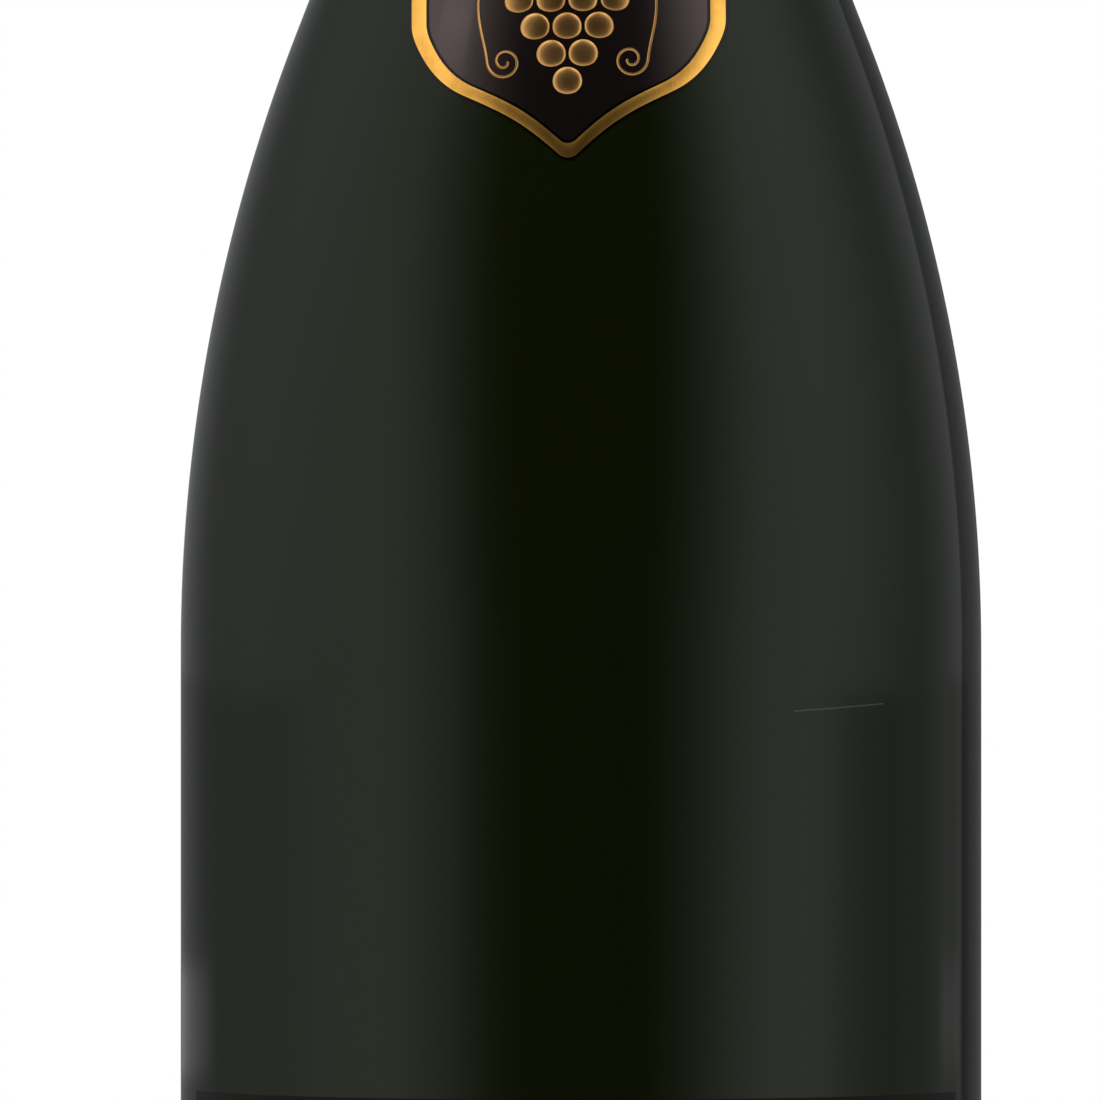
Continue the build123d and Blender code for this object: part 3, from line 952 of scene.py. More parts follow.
@dataclass
class Palette:
    """Every finish of the bottle, made once."""

    # Glass: almost black where it is thick, so the eye reads only its gloss and a trace of green.
    glass: Finish = MouldedGlass(
        "Green bottle glass, moulded", "#0e1204", 0.035, specular=0.224, specular_tint="#eef7e9", ior=1.52
    )
    # Label paper: a dark warm mirror, soft, with the sharp highlight of its varnish above.
    paper: Finish = MetallisedPaper("Metallised paper, varnished", "#443937", 0.2, metallic=0.92, coat=0.4)
    # Body label paper: plain paper printed nearly black, so matt that it drinks the light beside the glass.
    dark_paper: Finish = MetallisedPaper("Uncoated paper, printed black", "#181514", 0.5, specular=0.04)
    # Gold: bright where it meets the light panels, brown where it meets the dark gap in front.
    gold: Finish = PressedGold("Gold foil, hot pressed", "#ffc05a", 0.3, metallic=1.0)
    # Bronze: the vine's gold is a duller, browner foil than the border's.
    bronze: Finish = PressedGold("Bronze foil, hot pressed", "#d9a562", 0.34, metallic=1.0, worn="#a8713a")
    # A darker copy of it is painted shade in the flats of the leaves and stalk, between the raised lines.
    old_gold: Finish = PressedGold("Bronze foil, shaded flats", "#7d5329", 0.42, metallic=1.0, worn="#553517")
    # Capsule foil: satin gold lacquer over aluminium, its creases catching the light.
    foil: Finish = LacqueredFoil(
        "Capsule foil, gold lacquer", "#e9b95c", 0.24, metallic=1.0, coat=0.25, crinkle_depth=0.06
    )
    strip: Finish = LacqueredFoil("Strip foil, dark lacquer", "#3b2a28", 0.28, metallic=1.0, coat=0.4)
    # Cork: matt and warm, granular in the body and smoother in the discs.
    granules: Finish = PressedCork("Agglomerated cork, pressed", "#c79c68", 0.85)
    disc: Finish = PressedCork(
        "Natural cork, punched", "#d2a878", 0.8, granule=4.5, dark="#bb8d5b", depth=0.05
    )
    # Plaque: glossy lacquer that hides the tin, with pressed gold marks.
    plate: Finish = LacqueredFoil(
        "Tinplate, black lacquer", "#14110f", 0.16, coat=0.8, crinkle=3.0, crinkle_depth=0.004, duller=0.05
    )
    # Wire: bright zinc, a little uneven.
    wire: Finish = DrawnWire("Steel wire, galvanised", "#c9cac6", 0.3, metallic=1.0)
    # Wine: pale gold and clear, seen only where the glass is taken away.
    wine: Finish = Finish("Sparkling wine", "#e6c86e", 0.02, ior=1.34, transmission=1.0)

    def made(self) -> dict[str, Material]:
        """All of them as materials, by their field names."""
        return {item.name: getattr(self, item.name).make() for item in fields(self)}


# The glass


@dataclass(frozen=True)
class GlassLines:
    """The line that the outside of the glass follows, which foil and labels follow too."""

    body_radius: float = 44.5
    cylinder_top: float = 108.0
    shoulder_height: float = 157.5
    shoulder_share: float = 0.44
    neck_radius: float = 14.6

    @property
    def lean(self) -> float:
        """Turn of the shoulder, in radians."""
        return 2 * atan((self.body_radius - self.neck_radius) / self.shoulder_height)

    @property
    def shoulder_radius(self) -> float:
        """Radius of the shoulder's outward arc."""
        return self.shoulder_height / sin(self.lean) * self.shoulder_share

    @property
    def sweep_radius(self) -> float:
        """Radius of the inward arc between shoulder and neck."""
        return self.shoulder_height / sin(self.lean) * (1 - self.shoulder_share)

    @property
    def neck_foot(self) -> float:
        """Height at which the straight neck begins."""
        return self.cylinder_top + self.shoulder_height

    def radius_at(self, height: np.ndarray, proud: np.ndarray | float = 0.0) -> np.ndarray:
        """Radius of the outside at a height, for something that stands proud of it by so much.

        Args:
            height: Heights above the table.
            proud: Distance from the glass, square to it.

        Returns:
            Radii.
        """
        height = np.asarray(height, float)
        out, inn = self.shoulder_radius + proud, self.sweep_radius - proud
        above = np.clip(height - self.cylinder_top, 0, None)
        below = np.clip(self.neck_foot - height, 0, None)
        bulge = self.body_radius - self.shoulder_radius + np.sqrt(np.maximum(out**2 - above**2, 0))
        hollow = self.neck_radius + self.sweep_radius - np.sqrt(np.maximum(inn**2 - below**2, 0))
        turn_height = self.cylinder_top + self.shoulder_radius * sin(self.lean)
        return np.where(height < turn_height, bulge, hollow)

    def around(self, angle: np.ndarray, height: np.ndarray, proud: np.ndarray | float) -> np.ndarray:
        """Points at angles in degrees about the axis and at heights, proud of the glass."""
        return polar(np.radians(angle), np.asarray(height, float), self.radius_at(height, proud))

    def on_front(self, across: np.ndarray, height: np.ndarray, proud: np.ndarray | float) -> np.ndarray:
        """Points at a distance across the front and at a height, proud of the glass."""
        radius = self.radius_at(height, proud)
        return np.stack([across, -np.sqrt(radius**2 - across**2), np.asarray(height, float)], axis=-1)


@dataclass
class GlassBottle:
    """The moulded bottle, with its punt, seams and heel marks."""

    shop: Workshop
    lines: GlassLines
    glass: Material
    sides: int = 360
    wall: float = 4.65
    punt_depth: float = 33.0
    punt_radius: float = 29.0
    punt_wall: float = 8.0
    punt_flare: Point = (0.45, -1.0)
    lip_round: float = 1.5
    heel_round: float = 8.0
    trough_radius: float = 3.7
    floor: float = 8.0
    bore_radius: float = 8.85
    bore_foot: float = 273.0
    bore_round: float = 0.9
    ring_radius: float = 16.5
    ring_low: float = 279.5
    ring_high: float = 285.5
    ring_round: float = 1.8
    ring_fillet: float = 0.25
    groove_radius: float = 13.2
    groove_round: float = 0.4
    bead_radius: float = 14.4
    bead_low: float = 294.0
    bead_round: float = 0.9
    mouth: float = 300.0
    mouth_round: float = 1.7
    seam: float = 0.07
    seam_width: float = 0.7
    seam_fade: float = 6.0
    skin: float = 0.2
    mark_count: int = 96
    mark_size: float = 0.75
    mark_height: float = 0.22
    mark_angle: float = -42.0

    def outline(self) -> list[Point]:
        """Outline of the glass from the punt's top, out and up, and back down inside.

        Returns:
            Radius and height of each point.
        """
        lines = self.lines
        body, neck, lean = lines.body_radius, lines.neck_radius, degrees(lines.lean)
        bulge = (body - lines.shoulder_radius, lines.cylinder_top)
        hollow = (neck + lines.sweep_radius, lines.neck_foot)
        inner_bulge, inner_hollow = lines.shoulder_radius - self.wall, lines.sweep_radius + self.wall
        trough = (body - self.wall - self.trough_radius, self.floor + self.trough_radius)
        punt_top, punt_foot = (0.0, self.punt_depth), (self.punt_radius, 0.0)
        floor_foot = (trough[0] - self.trough_radius, trough[1])
        floor_top = (0.0, self.punt_depth + self.punt_wall)
        outside = [
            *passing(spline([punt_top, punt_foot], (1.0, 0.0), self.punt_flare, steps=26)[:-1]),
            (*punt_foot, self.lip_round),
            (body, 0.0, self.heel_round),
            *divided((body, self.heel_round), (body, lines.cylinder_top), steps=14),
            *passing(arc(bulge, lines.shoulder_radius, 0, lean, steps=34)),
            *passing(arc(hollow, lines.sweep_radius, 180 + lean, 180, steps=34)[1:]),
            (neck, self.ring_low, self.ring_fillet),
            (self.ring_radius, self.ring_low, self.ring_round),
            (self.ring_radius, self.ring_high, self.ring_round),
            (self.groove_radius, self.ring_high, self.groove_round),
            (self.groove_radius, self.bead_low, self.groove_round),
            (self.bead_radius, self.bead_low, self.bead_round),
            (self.bead_radius, self.mouth, self.mouth_round),
            (self.bore_radius, self.mouth, self.bore_round),
        ]
        within = [
            (self.bore_radius, self.bore_foot, 0.0),
            *passing(arc(hollow, inner_hollow, 180, 180 + lean, steps=14)),
            *passing(arc(bulge, inner_bulge, lean, 0, steps=14)[1:]),
            *passing(arc(trough, self.trough_radius, 0, -180, steps=10)),
            *passing(spline([floor_foot, floor_top], (0.0, 1.0), (-1.0, 0.0), steps=14)[1:]),
        ]
        return rounded([*outside, *within])

    def seams(self, at: np.ndarray) -> np.ndarray:
        """Raises the two mould seams on the outside, left and right.

        Args:
            at: The points of the glass.

        Returns:
            The moved points.
        """
        radius, _, height = cylindrical(at)
        outside = np.abs(radius - self.lines.radius_at(height)) < self.skin
        tall = smooth(height, self.heel_round, self.heel_round + self.seam_fade) * (height < self.ring_low)
        rise = self.seam * np.exp(-((at[:, 1] / self.seam_width) ** 2)) * outside * tall
        return swell(at, radius, rise)

    def heel_marks(self) -> Mesh:
        """The row of small marks that the mould leaves round the heel.

        Returns:
            One mesh with all of them.
        """
        turn, lean = evenly(self.mark_count), radians(self.mark_angle)
        radius = self.lines.body_radius - self.heel_round + self.heel_round * cos(lean)
        sites = polar(turn, self.heel_round + self.heel_round * sin(lean), radius)
        facing, sizes = polar(turn, sin(lean), cos(lean)), np.full(self.mark_count, self.mark_size)
        return self.shop.stud(sites, facing, sizes, self.mark_height, self.glass, rings=6, segments=10)

    def build(self) -> None:
        """Makes the bottle."""
        turned = reshape(self.shop.turn(self.outline(), self.sides, self.glass), self.seams)
        mesh = fuse("bottle", [turned, self.heel_marks()])
        finish_piece(mesh, "moulded_bottle", Body.BOTTLE, ["glass_bottle"], crease=60)


# Cork and wire


@dataclass
class Stopper:
    """The cork: a pressed body with its mushroom head, and two discs of whole cork."""

    shop: Workshop
    granules: Material
    disc: Material
    sides: int = 160
    radius: float = 8.75
    bottom: float = 276.0
    disc_height: float = 5.5
    seat: float = 300.1
    seat_radius: float = 13.6
    seat_round: float = 0.3
    belly: Point = (15.4, 305.26)
    top: float = 313.0
    top_round: float = 2.5
    glue_line: float = 0.12
    chamfer: float = 0.6
    crumble: float = 0.06

    def crumbled(self, at: np.ndarray) -> np.ndarray:
        """Sinks the surface a little at random, as cut cork is uneven.

        Args:
            at: The points of the cork.

        Returns:
            The moved points.
        """
        draw = np.random.default_rng(SEED)
        radius, _, _ = cylindrical(at)
        sunk = 1 - self.crumble * draw.random(len(at)) / np.maximum(radius, 2)
        worn = at.copy()
        worn[:, :2] *= sunk[:, None]
        return worn

    def build(self) -> None:
        """Makes the body and the two discs."""
        foot, brim = self.bottom + 2 * self.disc_height, (self.belly[0], self.top)
        head = spline([(self.seat_radius, self.seat), self.belly], (1.0, 1.0), (0.0, 1.0), steps=10)
        # The long runs are divided, so that they crumble too, but not beside their rounds.
        body = [
            (0.0, foot, 0.0),
            (self.radius, foot, self.glue_line),
            *divided((self.radius, foot), (self.radius, self.seat), steps=30),
            (self.radius, self.seat, self.seat_round),
            *passing(head),
            *divided(head[-1], brim, steps=10)[:4],
            (*brim, self.top_round),
            *divided(brim, (0.0, self.top), steps=12)[3:],
            (0.0, self.top, 0.0),
        ]
        mesh = reshape(self.shop.turn(rounded(body), self.sides, self.granules), self.crumbled)
        finish_piece(mesh, "stopper_body", Body.CORK, ["cork_body"], crease=50)
        discs = ("upper", foot - self.disc_height, self.glue_line), ("lower", self.bottom, self.chamfer)
        for name, low, edge in discs:
            high = low + self.disc_height
            disc = [
                (0.0, low, 0.0),
                (self.radius, low, edge),
                *divided((self.radius, low), (self.radius, high), steps=8)[1:-1],
                (self.radius, high, self.glue_line),
                (0.0, high, 0.0),
            ]
            mesh = reshape(self.shop.turn(rounded(disc), self.sides, self.disc), self.crumbled)
            finish_piece(mesh, f"stopper_disc_{name}", Body.CORK, [f"cork_disc_{name}"], crease=50)


@dataclass
class WireCage:
    """The plaque and the wire cage: crown ring, four twisted legs, and the belt with its stem and key."""

    shop: Workshop
    plate: Material
    gold: Material
    wire: Material
    plateau: Point = (11.2, 314.7)
    channel: Point = (12.5, 313.4)
    rim: Point = (16.1, 310.0)
    rim_round: float = 1.8
    sheet: float = 0.3
    bead_ring: float = 9.2
    bead_count: int = 48
    bead_size: float = 0.38
    spot_ring: float = 5.6
    spot_count: int = 8
    spot_size: float = 0.7
    boss_size: float = 1.5
    gold_rise: float = 0.22
    circle: Point = (3.5, 0.25)
    circle_half: float = 0.5
    plateau_flat: float = 7.0
    press_round: float = 0.3
    circle_round: float = 0.2
    slope_inset: float = 0.1
    strand: float = 0.4
    leg_pitch: float = 4.6
    crown: Point = (13.6, 313.875)
    crown_wire: float = 0.475
    leg_angles: dict[str, float] = field(
        default_factory=lambda: {"front_right": -45, "back_right": 45, "back_left": 135, "front_left": 225}
    )
    leg_path: tuple[Corner, ...] = (
        (14.155, 314.3, 0.0), (17.0, 314.3, 2.0), (17.4, 285.5, 4.0), (17.4, 279.5, 1.2), (16.0, 278.045, 0.0)
    )
    belt: Point = (15.155, 278.945)
    stem_height: float = 278.77
    key_depth: float = 17.135
    key_low: float = 279.77
    key_straight: float = 290.77
    key_half: float = 3.2
    stem_strand: float = 0.325
    stem_bend: float = 1.0
    stem_pitch: float = 2.4
    stem_overlap: float = 0.1
    ring_steps: int = 180

    def ring(self, radius: float, height: float) -> Mesh:
        """A ring of wire about the axis."""
        path = polar(evenly(self.ring_steps), height, radius)
        return self.shop.wind(path, self.wire, self.crown_wire, closed=True)

    def plaque(self) -> Mesh:
        """The pressed cap: a raised circle round its middle, and a gold boss, spots and beads.

        Returns:
            The closed mesh.
        """
        top, low = self.plateau[1], self.plateau[1] - self.sheet
        middle, risen = self.circle
        upper = [
            (0.0, top, 0.0),
            (middle - self.circle_half, top, self.press_round),
            (middle, top + risen, self.circle_round),
            (middle + self.circle_half, top, self.press_round),
            (self.plateau_flat, top, 0.0),
            (*self.plateau, self.press_round),
            (*self.channel, self.press_round),
            (self.rim[0], self.channel[1], self.rim_round),
            (*self.rim, 0.0),
        ]
        # Drawn in under the slope between plateau and channel, the sheet keeps its thickness.
        lower = [
            (self.rim[0] - self.sheet, self.rim[1], 0.0),
            (self.rim[0] - self.sheet, self.channel[1] - self.sheet, self.rim_round - self.sheet),
            (self.channel[0] - self.slope_inset, self.channel[1] - self.sheet, self.press_round),
            (self.plateau[0] - self.slope_inset, low, self.press_round),
            (0.0, low, 0.0),
        ]
        plate = self.shop.turn(rounded([*upper, *lower])[::-1], 200, self.plate)
        beads = polar(evenly(self.bead_count), top, self.bead_ring)
        spots = polar(evenly(self.spot_count), top, self.spot_ring)
        sites = np.concatenate([beads, spots, [[0.0, 0.0, top]]])
        counts = [self.bead_count, self.spot_count, 1]
        sizes = np.repeat([self.bead_size, self.spot_size, self.boss_size], counts)
        up = np.tile([0.0, 0.0, 1.0], (len(sites), 1))
        return fuse("plaque", [plate, self.shop.stud(sites, up, sizes, self.gold_rise, self.gold)])

    def legs(self) -> None:
        """The four legs, each of two strands twisted together."""
        radius, height = np.array(rounded(self.leg_path, turn_step=8)).T
        for name, angle in self.leg_angles.items():
            path = polar(np.radians(angle), height, radius)
            mesh = self.shop.wind(path, self.wire, self.strand, strands=2, pitch=self.leg_pitch, step=0.22)
            finish_piece(mesh, f"twisted_leg_{name}", Body.CAGE, [f"cage_leg_{name}"])

    def belt_and_key(self) -> Mesh:
        """The belt round the neck, the twisted stem that leaves it, and the loop that the hand turns.

        Returns:
            The three as one mesh.
        """
        corners = [
            (self.belt[0], self.stem_height, 0.0),
            (self.key_depth, self.stem_height, self.stem_bend),
            (self.key_depth, self.key_low + self.stem_overlap, 0.0),
        ]
        stem_path = [(0.0, -r, z) for r, z in rounded(corners)]
        stem = self.shop.wind(stem_path, self.wire, self.stem_strand, 2, self.stem_pitch, step=0.12)
        low = arc((0.0, self.key_low + self.key_half), self.key_half, 180, 360, steps=24)
        high = arc((0.0, self.key_straight), self.key_half, 0, 180, steps=24)
        loop_path = [(x, -self.key_depth, z) for x, z in low + high]
        loop = self.shop.wind(loop_path, self.wire, self.crown_wire, closed=True)
        return fuse("belt", [self.ring(*self.belt), stem, loop])

    def build(self) -> None:
        """Makes every piece of the cage."""
        finish_piece(self.plaque(), "pressed_plaque", Body.CAGE, ["plaque"])
        finish_piece(self.ring(*self.crown), "crown_wire_ring", Body.CAGE, ["cage_crown_ring"])
        self.legs()
        finish_piece(self.belt_and_key(), "belt_wire_and_key", Body.CAGE, ["cage_belt_wire"])


# Foil


@dataclass(frozen=True)
class Creases:
    """Sharp upright folds in foil, at random places round it, that only ever stand outwards."""

    count: int
    height: float
    width: float
    drift: float
    seed: int
    stray: float = 0.35
    tallness: Point = (0.35, 1.0)
    wideness: Point = (0.7, 1.5)
    bend_share: float = 0.2
    bend_length: float = 6.0
    sharpness: float = 1.5
    most: float = 1.6

    def rise(self, angle: np.ndarray, height: np.ndarray, radius: np.ndarray) -> np.ndarray:
        """How far the foil stands out.

        Args:
            angle: Angle of each point, in radians.
            height: Its height.
            radius: Its radius.

        Returns:
            The rise of each point, before it is faded along the height.
        """
        draw = np.random.default_rng(self.seed)
        total = np.zeros_like(angle)
        for place in evenly(self.count):
            middle = place + draw.normal(0, self.stray) * 2 * pi / self.count
            tall, wide = draw.uniform(*self.tallness), draw.uniform(*self.wideness)
            lean, bend = draw.normal(0, self.drift), draw.uniform(0, self.drift)
            wave = np.sin(height / self.bend_length + draw.uniform(0, 2 * pi))
            line = middle + lean * height / 100 + bend * self.bend_share * wave
            away = (angle - line + pi) % (2 * pi) - pi
            total += tall * np.exp(-np.abs(away * radius / (self.width * wide)) ** self.sharpness)
        return self.height * np.minimum(total, self.most)


@dataclass
class FoilCapsule:
    """The foil: hood over cork and cage, tear strip with its tab, and the skirt down the neck."""

    shop: Workshop
    lines: GlassLines
    foil: Material
    strip: Material
    gold: Material
    thickness: float = 0.2
    hood_top: float = 315.4
    crown_radius: float = 18.2
    crown_round: float = 2.6
    foot_radius: float = 18.5
    hood_foot: float = 275.5
    strip_low: float = 269.4
    strip_high: float = 275.4
    skirt_top: float = 269.3
    gather_foot: float = 250.3
    hem: float = 202.5
    skirt_gap: float = 0.12
    tab_radius: float = 18.85
    tab_low: float = 269.7
    tab_high: float = 275.1
    tab_free: float = 205.0
    tab_hinge: float = 231.0
    tab_lift: float = 0.9
    tab_flat: float = 6.0
    tab_corner: float = 7.0
    tab_taper: float = 0.3
    tab_rib: float = 0.07
    tab_ribs: float = 120.0
    leg_bulge: float = 0.22
    leg_sharpness: float = 14.0
    print_radius: float = 11.4
    print_width: float = 0.7
    print_rise: float = 0.16
    top_fade: float = 4.0
    foot_fade: float = 6.0
    least_fold: float = 0.35
    gather_fade: float = 6.0
    hem_fade: Point = (3.0, 14.0)
    hem_rings: Point = (2.2, 3.6)
    hem_ring_rise: float = 0.16
    hem_ring_width: float = 0.4
    sides: int = 420
    strip_sides: int = 240
    strip_round: float = 0.06
    strip_inner_round: float = 0.05
    dot_inset: float = 0.75
    dot_count: int = 90
    dot_size: float = 0.3
    dot_rise: float = 0.1
    hood_creases: Creases = Creases(count=44, height=0.3, width=0.5, drift=0.4, seed=11)
    fold_creases: Creases = Creases(count=30, height=0.42, width=0.6, drift=0.3, seed=23)
    neck_creases: Creases = Creases(count=40, height=0.07, width=0.5, drift=0.5, seed=31)

    def hood_rule(self, at: np.ndarray) -> np.ndarray:
        """Stands the hood's folds out, more towards its foot, and lets the legs and plaque show through.

        Args:
            at: The points of the hood.

        Returns:
            The moved points.
        """
        radius, angle, height = cylindrical(at)
        side = smooth(height, self.hood_top, self.hood_top - self.top_fade)
        low = smooth(height, self.hood_top - 2 * self.top_fade, self.hood_foot + self.top_fade)
        folds = self.least_fold + (1 - self.least_fold) * low
        rise = self.hood_creases.rise(angle, height, radius) * side * folds
        # The legs stand halfway between the axes.
        legs = (1 - np.cos(2 * angle) ** 2) ** self.leg_sharpness
        rise += self.leg_bulge * legs * side * smooth(height, self.hood_foot, self.hood_foot + self.foot_fade)
        grown = swell(at, radius, rise)
        on_top = height > self.hood_top - self.thickness
        circle = np.exp(-(((radius - self.print_radius) / self.print_width) ** 2))
        grown[:, 2] += self.print_rise * circle * on_top
        return grown

    def skirt_rule(self, at: np.ndarray) -> np.ndarray:
        """Gathers the skirt in folds under the strip and wrinkles it faintly down the neck.

        Args:
            at: The points of the skirt.

        Returns:
            The moved points.
        """
        radius, angle, height = cylindrical(at)
        gathered = smooth(height, self.gather_foot - self.gather_fade, self.skirt_top - self.gather_fade)
        rise = self.fold_creases.rise(angle, height, radius) * gathered
        near, far = (self.hem + reach for reach in self.hem_fade)
        rise += self.neck_creases.rise(angle, height, radius) * smooth(height, near, far)
        for ring in self.hem_rings:
            rise += self.hem_ring_rise * np.exp(-(((height - self.hem - ring) / self.hem_ring_width) ** 2))
        return swell(at, radius, rise)

    def hood_side(self, grown: float) -> list[Point]:
        """The hood's line from its middle to its foot.

        Args:
            grown: How far it is grown outwards.

        Returns:
            Radius and height of each point.
        """
        crown, top, foot = self.crown_radius + grown, self.hood_top + grown, self.foot_radius + grown
        # Both runs are divided for the creases, but not beside the round between them.
        corners = [
            (0.0, top, 0.0),
            *divided((0.0, top), (crown, top), steps=26)[:21],
            (crown, top, self.crown_round + grown),
            *divided((crown, top), (foot, self.hood_foot), steps=46)[4:],
            (foot, self.hood_foot, 0.0),
        ]
        return rounded(corners)

    def hood(self) -> Mesh:
        """The hood, closed at the top and open below."""
        outline = self.hood_side(0.0) + self.hood_side(self.thickness)[::-1]
        return reshape(self.shop.turn(outline, self.sides, self.foil), self.hood_rule)

    def skirt_side(self, proud: float) -> list[Point]:
        """The skirt's line from hem to top.

        Args:
            proud: Distance from the glass.

        Returns:
            Radius and height of each point.
        """
        heights = np.linspace(self.hem, self.gather_foot, 40)
        low = [(float(self.lines.radius_at(h, proud)), float(h)) for h in heights]
        high = (self.foot_radius + proud - self.skirt_gap, self.skirt_top)
        return low[:-1] + spline([low[-1], high], (0.0, 1.0), (0.0, 1.0), steps=30)

    def skirt(self) -> Mesh:
        """The skirt, on the glass below and gathered out to the strip above."""
        outline = self.skirt_side(self.skirt_gap + self.thickness) + self.skirt_side(self.skirt_gap)[::-1]
        return reshape(self.shop.turn(outline, self.sides, self.foil, closed=True), self.skirt_rule)

    def tear_strip(self) -> Mesh:
        """The dark strip with a pressed line of gold dots along both its edges.

        Returns:
            The strip and its dots as one mesh.
        """
        inner, outer = self.foot_radius, self.foot_radius + self.thickness
        low, high = self.strip_low, self.strip_high
        corners = [
            (inner, low, self.strip_inner_round),
            (outer, low, self.strip_round),
            *divided((outer, low), (outer, high), steps=6),
            (outer, high, self.strip_round),
            (inner, high, self.strip_inner_round),
        ]
        outline = rounded(corners, closed=True)
        band = self.shop.turn(outline, self.strip_sides, self.strip, closed=True)
        turn = np.tile(evenly(self.dot_count), 2)
        height = np.repeat([low + self.dot_inset, high - self.dot_inset], self.dot_count)
        sites, facing = polar(turn, height, outer), polar(turn, 0.0, 1.0)
        sizes = np.full(len(turn), self.dot_size)
        dots = self.shop.stud(sites, facing, sizes, self.dot_rise, self.gold, rings=6, segments=10)
        return fuse("strip", [band, dots])

    def tab(self) -> Mesh:
        """The tab that starts the tear: flat at its hinge, lifted and ribbed towards its free end.

        Returns:
            The closed mesh.
        """
        angle = np.linspace(self.tab_free, self.tab_hinge, 90)
        height = np.linspace(self.tab_low, self.tab_high, 26)
        turn, tall = np.meshgrid(angle, height, indexing="ij")
        free = smooth(turn, self.tab_hinge - self.tab_flat, self.tab_free)
        middle = (self.tab_low + self.tab_high) / 2
        corner = smooth(turn, self.tab_free + self.tab_corner, self.tab_free) ** 2
        tall = middle + (tall - middle) * (1 - self.tab_taper * corner)
        ribs = self.tab_rib * (1 + np.sin(np.radians(turn - self.tab_free) * self.tab_ribs)) * free
        inner = self.tab_radius + self.tab_lift * free**2
        flat = np.stack([np.radians(turn), tall], axis=-1)
        return sheet_mesh("tab", polar, flat, inner + self.thickness + ribs, inner, self.strip)

    def build(self) -> None:
        """Makes the four pieces of foil."""
        finish_piece(self.hood(), "creased_foil_hood", Body.CAP, ["foil_hood"])
        finish_piece(self.tear_strip(), "embossed_tear_strip", Body.STRIP, ["foil_tear_strip"])
        finish_piece(self.tab(), "tear_tab_pull", Body.TAB, ["foil_tear_tab"])
        finish_piece(self.skirt(), "gathered_foil_skirt", Body.BOTTLE, ["foil_skirt"])


# Labels


@dataclass(frozen=True)
class Vine:
    """A generic bunch of grapes with two leaves and two tendrils, drawn flat with its lowest grape at 0."""

    grape: float = 1.65
    pitch: float = 3.5
    rise: float = 3.0
    rows: tuple[int, ...] = (1, 2, 3, 4, 3)
    stalk_length: float = 4.6
    stalk_foot: float = 0.45
    stalk_head: float = 0.5
    stalk_sunk: float = 0.6
    leaf_size: float = 10.4
    leaf_reach: float = 0.56
    leaf_turn: float = 28.0
    leaf_round: float = 0.02
    curl_middle: Point = (6.9, 3.9)
    curl_reach: Point = (0.35, 1.9)
    curl_turn: float = 540.0
    curl_steps: int = 60
    stem: tuple[Point, ...] = ((9.6, 8.2), (9.2, 13.2), (7.0, 16.6))
    stem_start: Point = (0.1, 1.0)
    stem_end: Point = (-0.8, 1.0)
    lobes: tuple[Point, ...] = (
        (0.0, -0.42), (0.16, -0.50), (0.44, -0.36), (0.34, -0.16), (0.52, 0.06), (0.30, 0.16),
        (0.26, 0.40), (0.10, 0.34), (0.0, 0.56),
    )
    veins: tuple[tuple[Point, Point], ...] = (
        ((0.0, -0.40), (0.0, 0.48)),
        ((0.0, -0.30), (0.34, -0.34)),
        ((0.0, -0.16), (0.42, 0.04)),
        ((0.0, 0.04), (0.20, 0.33)),
    )

    @property
    def bunch_top(self) -> float:
        """Height of the top of the grapes."""
        return self.grape + self.rise * len(self.rows)

    def grapes(self) -> np.ndarray:
        """Centre of every grape, a row for each."""
        places = [(i - (count - 1) / 2, row) for row, count in enumerate(self.rows) for i in range(count)]
        return np.array([(i * self.pitch, self.grape + row * self.rise) for i, row in places])

    def in_leaf(self, side: float, points: Sequence[Point]) -> np.ndarray:
        """Moves points given in shares of a leaf to the left or right leaf.

        Args:
            side: -1 for the left leaf and 1 for the right one.
            points: The points.

        Returns:
            The points in the vine, a row for each.
        """
        turn = radians(-side * self.leaf_turn)
        across, up = np.array(points, float).T * self.leaf_size
        right = side * self.leaf_size * self.leaf_reach + across * cos(turn) - up * sin(turn)
        high = self.bunch_top + self.leaf_size / 2 + across * sin(turn) + up * cos(turn)
        return np.stack([right, high], axis=1)

    def leaf_outline(self, count: int) -> np.ndarray:
        """A whole leaf's outline in shares of its size, its corners a little rounded."""
        soft = [(x, y, self.leaf_round) for x, y in [*self.lobes, *[(-x, y) for x, y in self.lobes[-2:0:-1]]]]
        return even_loop(rounded(soft, closed=True, turn_step=20), count)

    def leaf_veins(self) -> list[list[Point]]:
        """The veins of a leaf, in shares of its size.

        Returns:
            The points along each vein.
        """
        found = []
        share = np.linspace(0, 1, 8)
        for (x, y), (end_x, end_y) in self.veins:
            # The middle vein is alone, and each other one has its like on the leaf's other half.
            for flip in (1, -1) if end_x else (1,):
                found.append([(x + (flip * end_x - x) * s, y + (end_y - y) * s) for s in share])
        return found

    def tendril(self, side: float) -> list[Point]:
        """A scroll beside the bunch whose stem rises along it to the leaf.

        Args:
            side: -1 for the left tendril and 1 for the right one.

        Returns:
            Points along it.
        """
        turn = np.radians(np.linspace(-self.curl_turn, 0, self.curl_steps))
        reach = np.linspace(*self.curl_reach, self.curl_steps)
        x, y = self.curl_middle
        curl = np.stack([x + reach * np.cos(turn), y + reach * np.sin(turn)], axis=1)
        stem = spline([tuple(curl[-1]), *self.stem], self.stem_start, self.stem_end, steps=12)
        return [(side * x, y) for x, y in [*map(tuple, curl[:-1]), *stem]]


